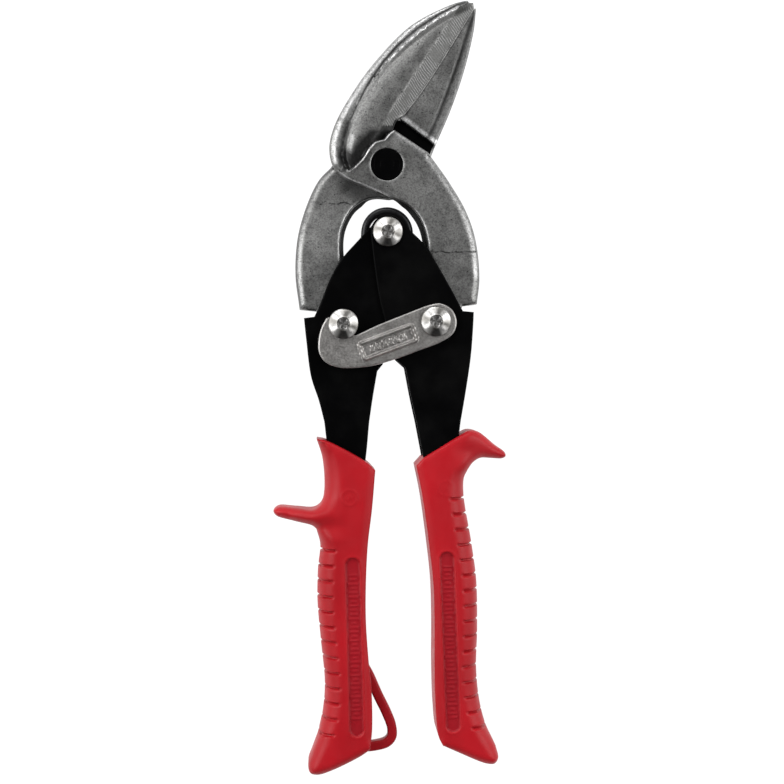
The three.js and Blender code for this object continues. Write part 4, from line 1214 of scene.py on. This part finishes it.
def finish_cad(node, material, width):
    """Keeps a CAD node, with softened edges and its own finish."""
    piece = frame["nodes"][node]
    piece.data.materials.clear()
    piece.data.materials.append(material)
    piece.modifiers.new("weld", "WELD").merge_threshold = 0.01 * MM
    bevel = piece.modifiers.new("edges", "BEVEL")
    bevel.width = width * MM
    bevel.segments = 3
    bevel.limit_method = "ANGLE"
    bevel.angle_limit = math.radians(32)
    bevel.harden_normals = False


# ---- assembly ----

front_blade()
rear_blade()
left_channel()
right_channel()
left_grip()
lanyard_loop()
right_grip()
latch()
domed_screw("handle_pivot_screw", HANDLE_PIVOT, "left_handle_group")
domed_screw("left_tang_screw", LEFT_TANG_PIVOT, "left_handle_group")
domed_screw("right_tang_screw", RIGHT_TANG_PIVOT, "right_handle_group")
pivot_bolt()
torsion_spring()
for nut in ("blade_pivot_nut", "handle_pivot_nut", "left_tang_nut", "right_tang_nut"):
    finish_cad(nut, OXIDE_AND_SLOT_SHADE, NUT_EDGE)
for washer in ("blade_pivot_washer", "latch_washer"):
    finish_cad(washer, STAMPED, WASHER_EDGE)
for sleeve in ("handle_pivot_sleeve", "left_tang_sleeve", "right_tang_sleeve"):
    finish_cad(sleeve, STAMPED, WASHER_EDGE)

# ---- floor, light, camera ----

FLOOR_HALF = 4000
FLOOR_GREY = 0.06
FLOOR_GLOW = 1.0  # the floor is a lit panel, so shadows on it stay faint
WALL_LIGHT, CEILING_LIGHT = 0.5, 0.1
LIT_POINT = (0, -60, 10)
CAMERA_AT, CAMERA_HEIGHT = (-19.0, -64.5), 480
AIM, AIM_HEIGHT = (1.65, -70.8), 13
FRAME_WIDTH = 245.0  # width that fills the picture at the aim
SENSOR_WIDTH = 36


def world():
    """Studio dome: dark overhead, lighter towards the walls."""
    studio = bpy.data.worlds.new("studio")
    studio.use_nodes = True
    tree = studio.node_tree
    place = tree.nodes.new("ShaderNodeTexCoord")
    parts = tree.nodes.new("ShaderNodeSeparateXYZ")
    strength = tree.nodes.new("ShaderNodeMapRange")
    tree.links.new(place.outputs["Generated"], parts.inputs[0])
    tree.links.new(parts.outputs[2], strength.inputs["Value"])
    ends = {"From Min": 0.35, "From Max": 0.9, "To Min": WALL_LIGHT, "To Max": CEILING_LIGHT}
    for key, value in ends.items():
        strength.inputs[key].default_value = value
    background = tree.nodes["Background"]
    background.inputs["Color"].default_value = (1, 1, 1, 1)
    tree.links.new(strength.outputs["Result"], background.inputs["Strength"])
    bpy.context.scene.world = studio


def floor():
    """Wide glowing white floor under the snips."""
    size = FLOOR_HALF * MM
    mesh = bpy.data.meshes.new("floor")
    corners = [(-size, -size, 0), (size, -size, 0), (size, size, 0), (-size, size, 0)]
    mesh.from_pydata(corners, [], [(0, 1, 2, 3)])
    piece = add_object("floor", mesh)
    material = bpy.data.materials.new("floor_paper")
    material.use_nodes = True
    shader = material.node_tree.nodes["Principled BSDF"]
    shader.inputs["Base Color"].default_value = (FLOOR_GREY, FLOOR_GREY, FLOOR_GREY, 1)
    shader.inputs["Roughness"].default_value = 0.9
    shader.inputs["Emission Color"].default_value = (1, 1, 1, 1)
    shader.inputs["Emission Strength"].default_value = FLOOR_GLOW
    mesh.materials.append(material)


def softbox(name, place, size, watts):
    """Rectangular lamp that faces the snips."""
    data = bpy.data.lights.new(name, "AREA")
    data.shape = "RECTANGLE"
    data.size, data.size_y = size[0] * MM, size[1] * MM
    data.energy = watts
    lamp = add_object(name, data)
    lamp.location = Vector(place) * MM
    lamp.rotation_mode = "QUATERNION"
    lamp.rotation_quaternion = (Vector(LIT_POINT) * MM - lamp.location).to_track_quat("-Z", "Y")


def camera():
    """Camera a little to the left of the snips, looking at their middle, with +Y up in the picture."""
    place, aim = Vector((*CAMERA_AT, CAMERA_HEIGHT)) * MM, Vector((*AIM, AIM_HEIGHT)) * MM
    ahead = aim - place
    data = bpy.data.cameras.new("camera")
    data.sensor_width = SENSOR_WIDTH
    data.lens = SENSOR_WIDTH * ahead.length / (FRAME_WIDTH * MM)
    piece = add_object("camera", data)
    back = -ahead.normalized()
    right = Vector((0, 1, 0)).cross(back).normalized()
    turn = Matrix((right, back.cross(right), back)).transposed()
    piece.matrix_world = Matrix.Translation(place) @ turn.to_4x4()
    bpy.context.scene.camera = piece


world()
floor()
softbox("left_box", (-560, 80, 420), (620, 700), 5.8)
softbox("right_box", (560, 20, 420), (460, 700), 3.8)
softbox("far_box", (-40, 560, 380), (600, 260), 2.6)
bpy.context.scene.view_settings.view_transform = "Standard"
camera()
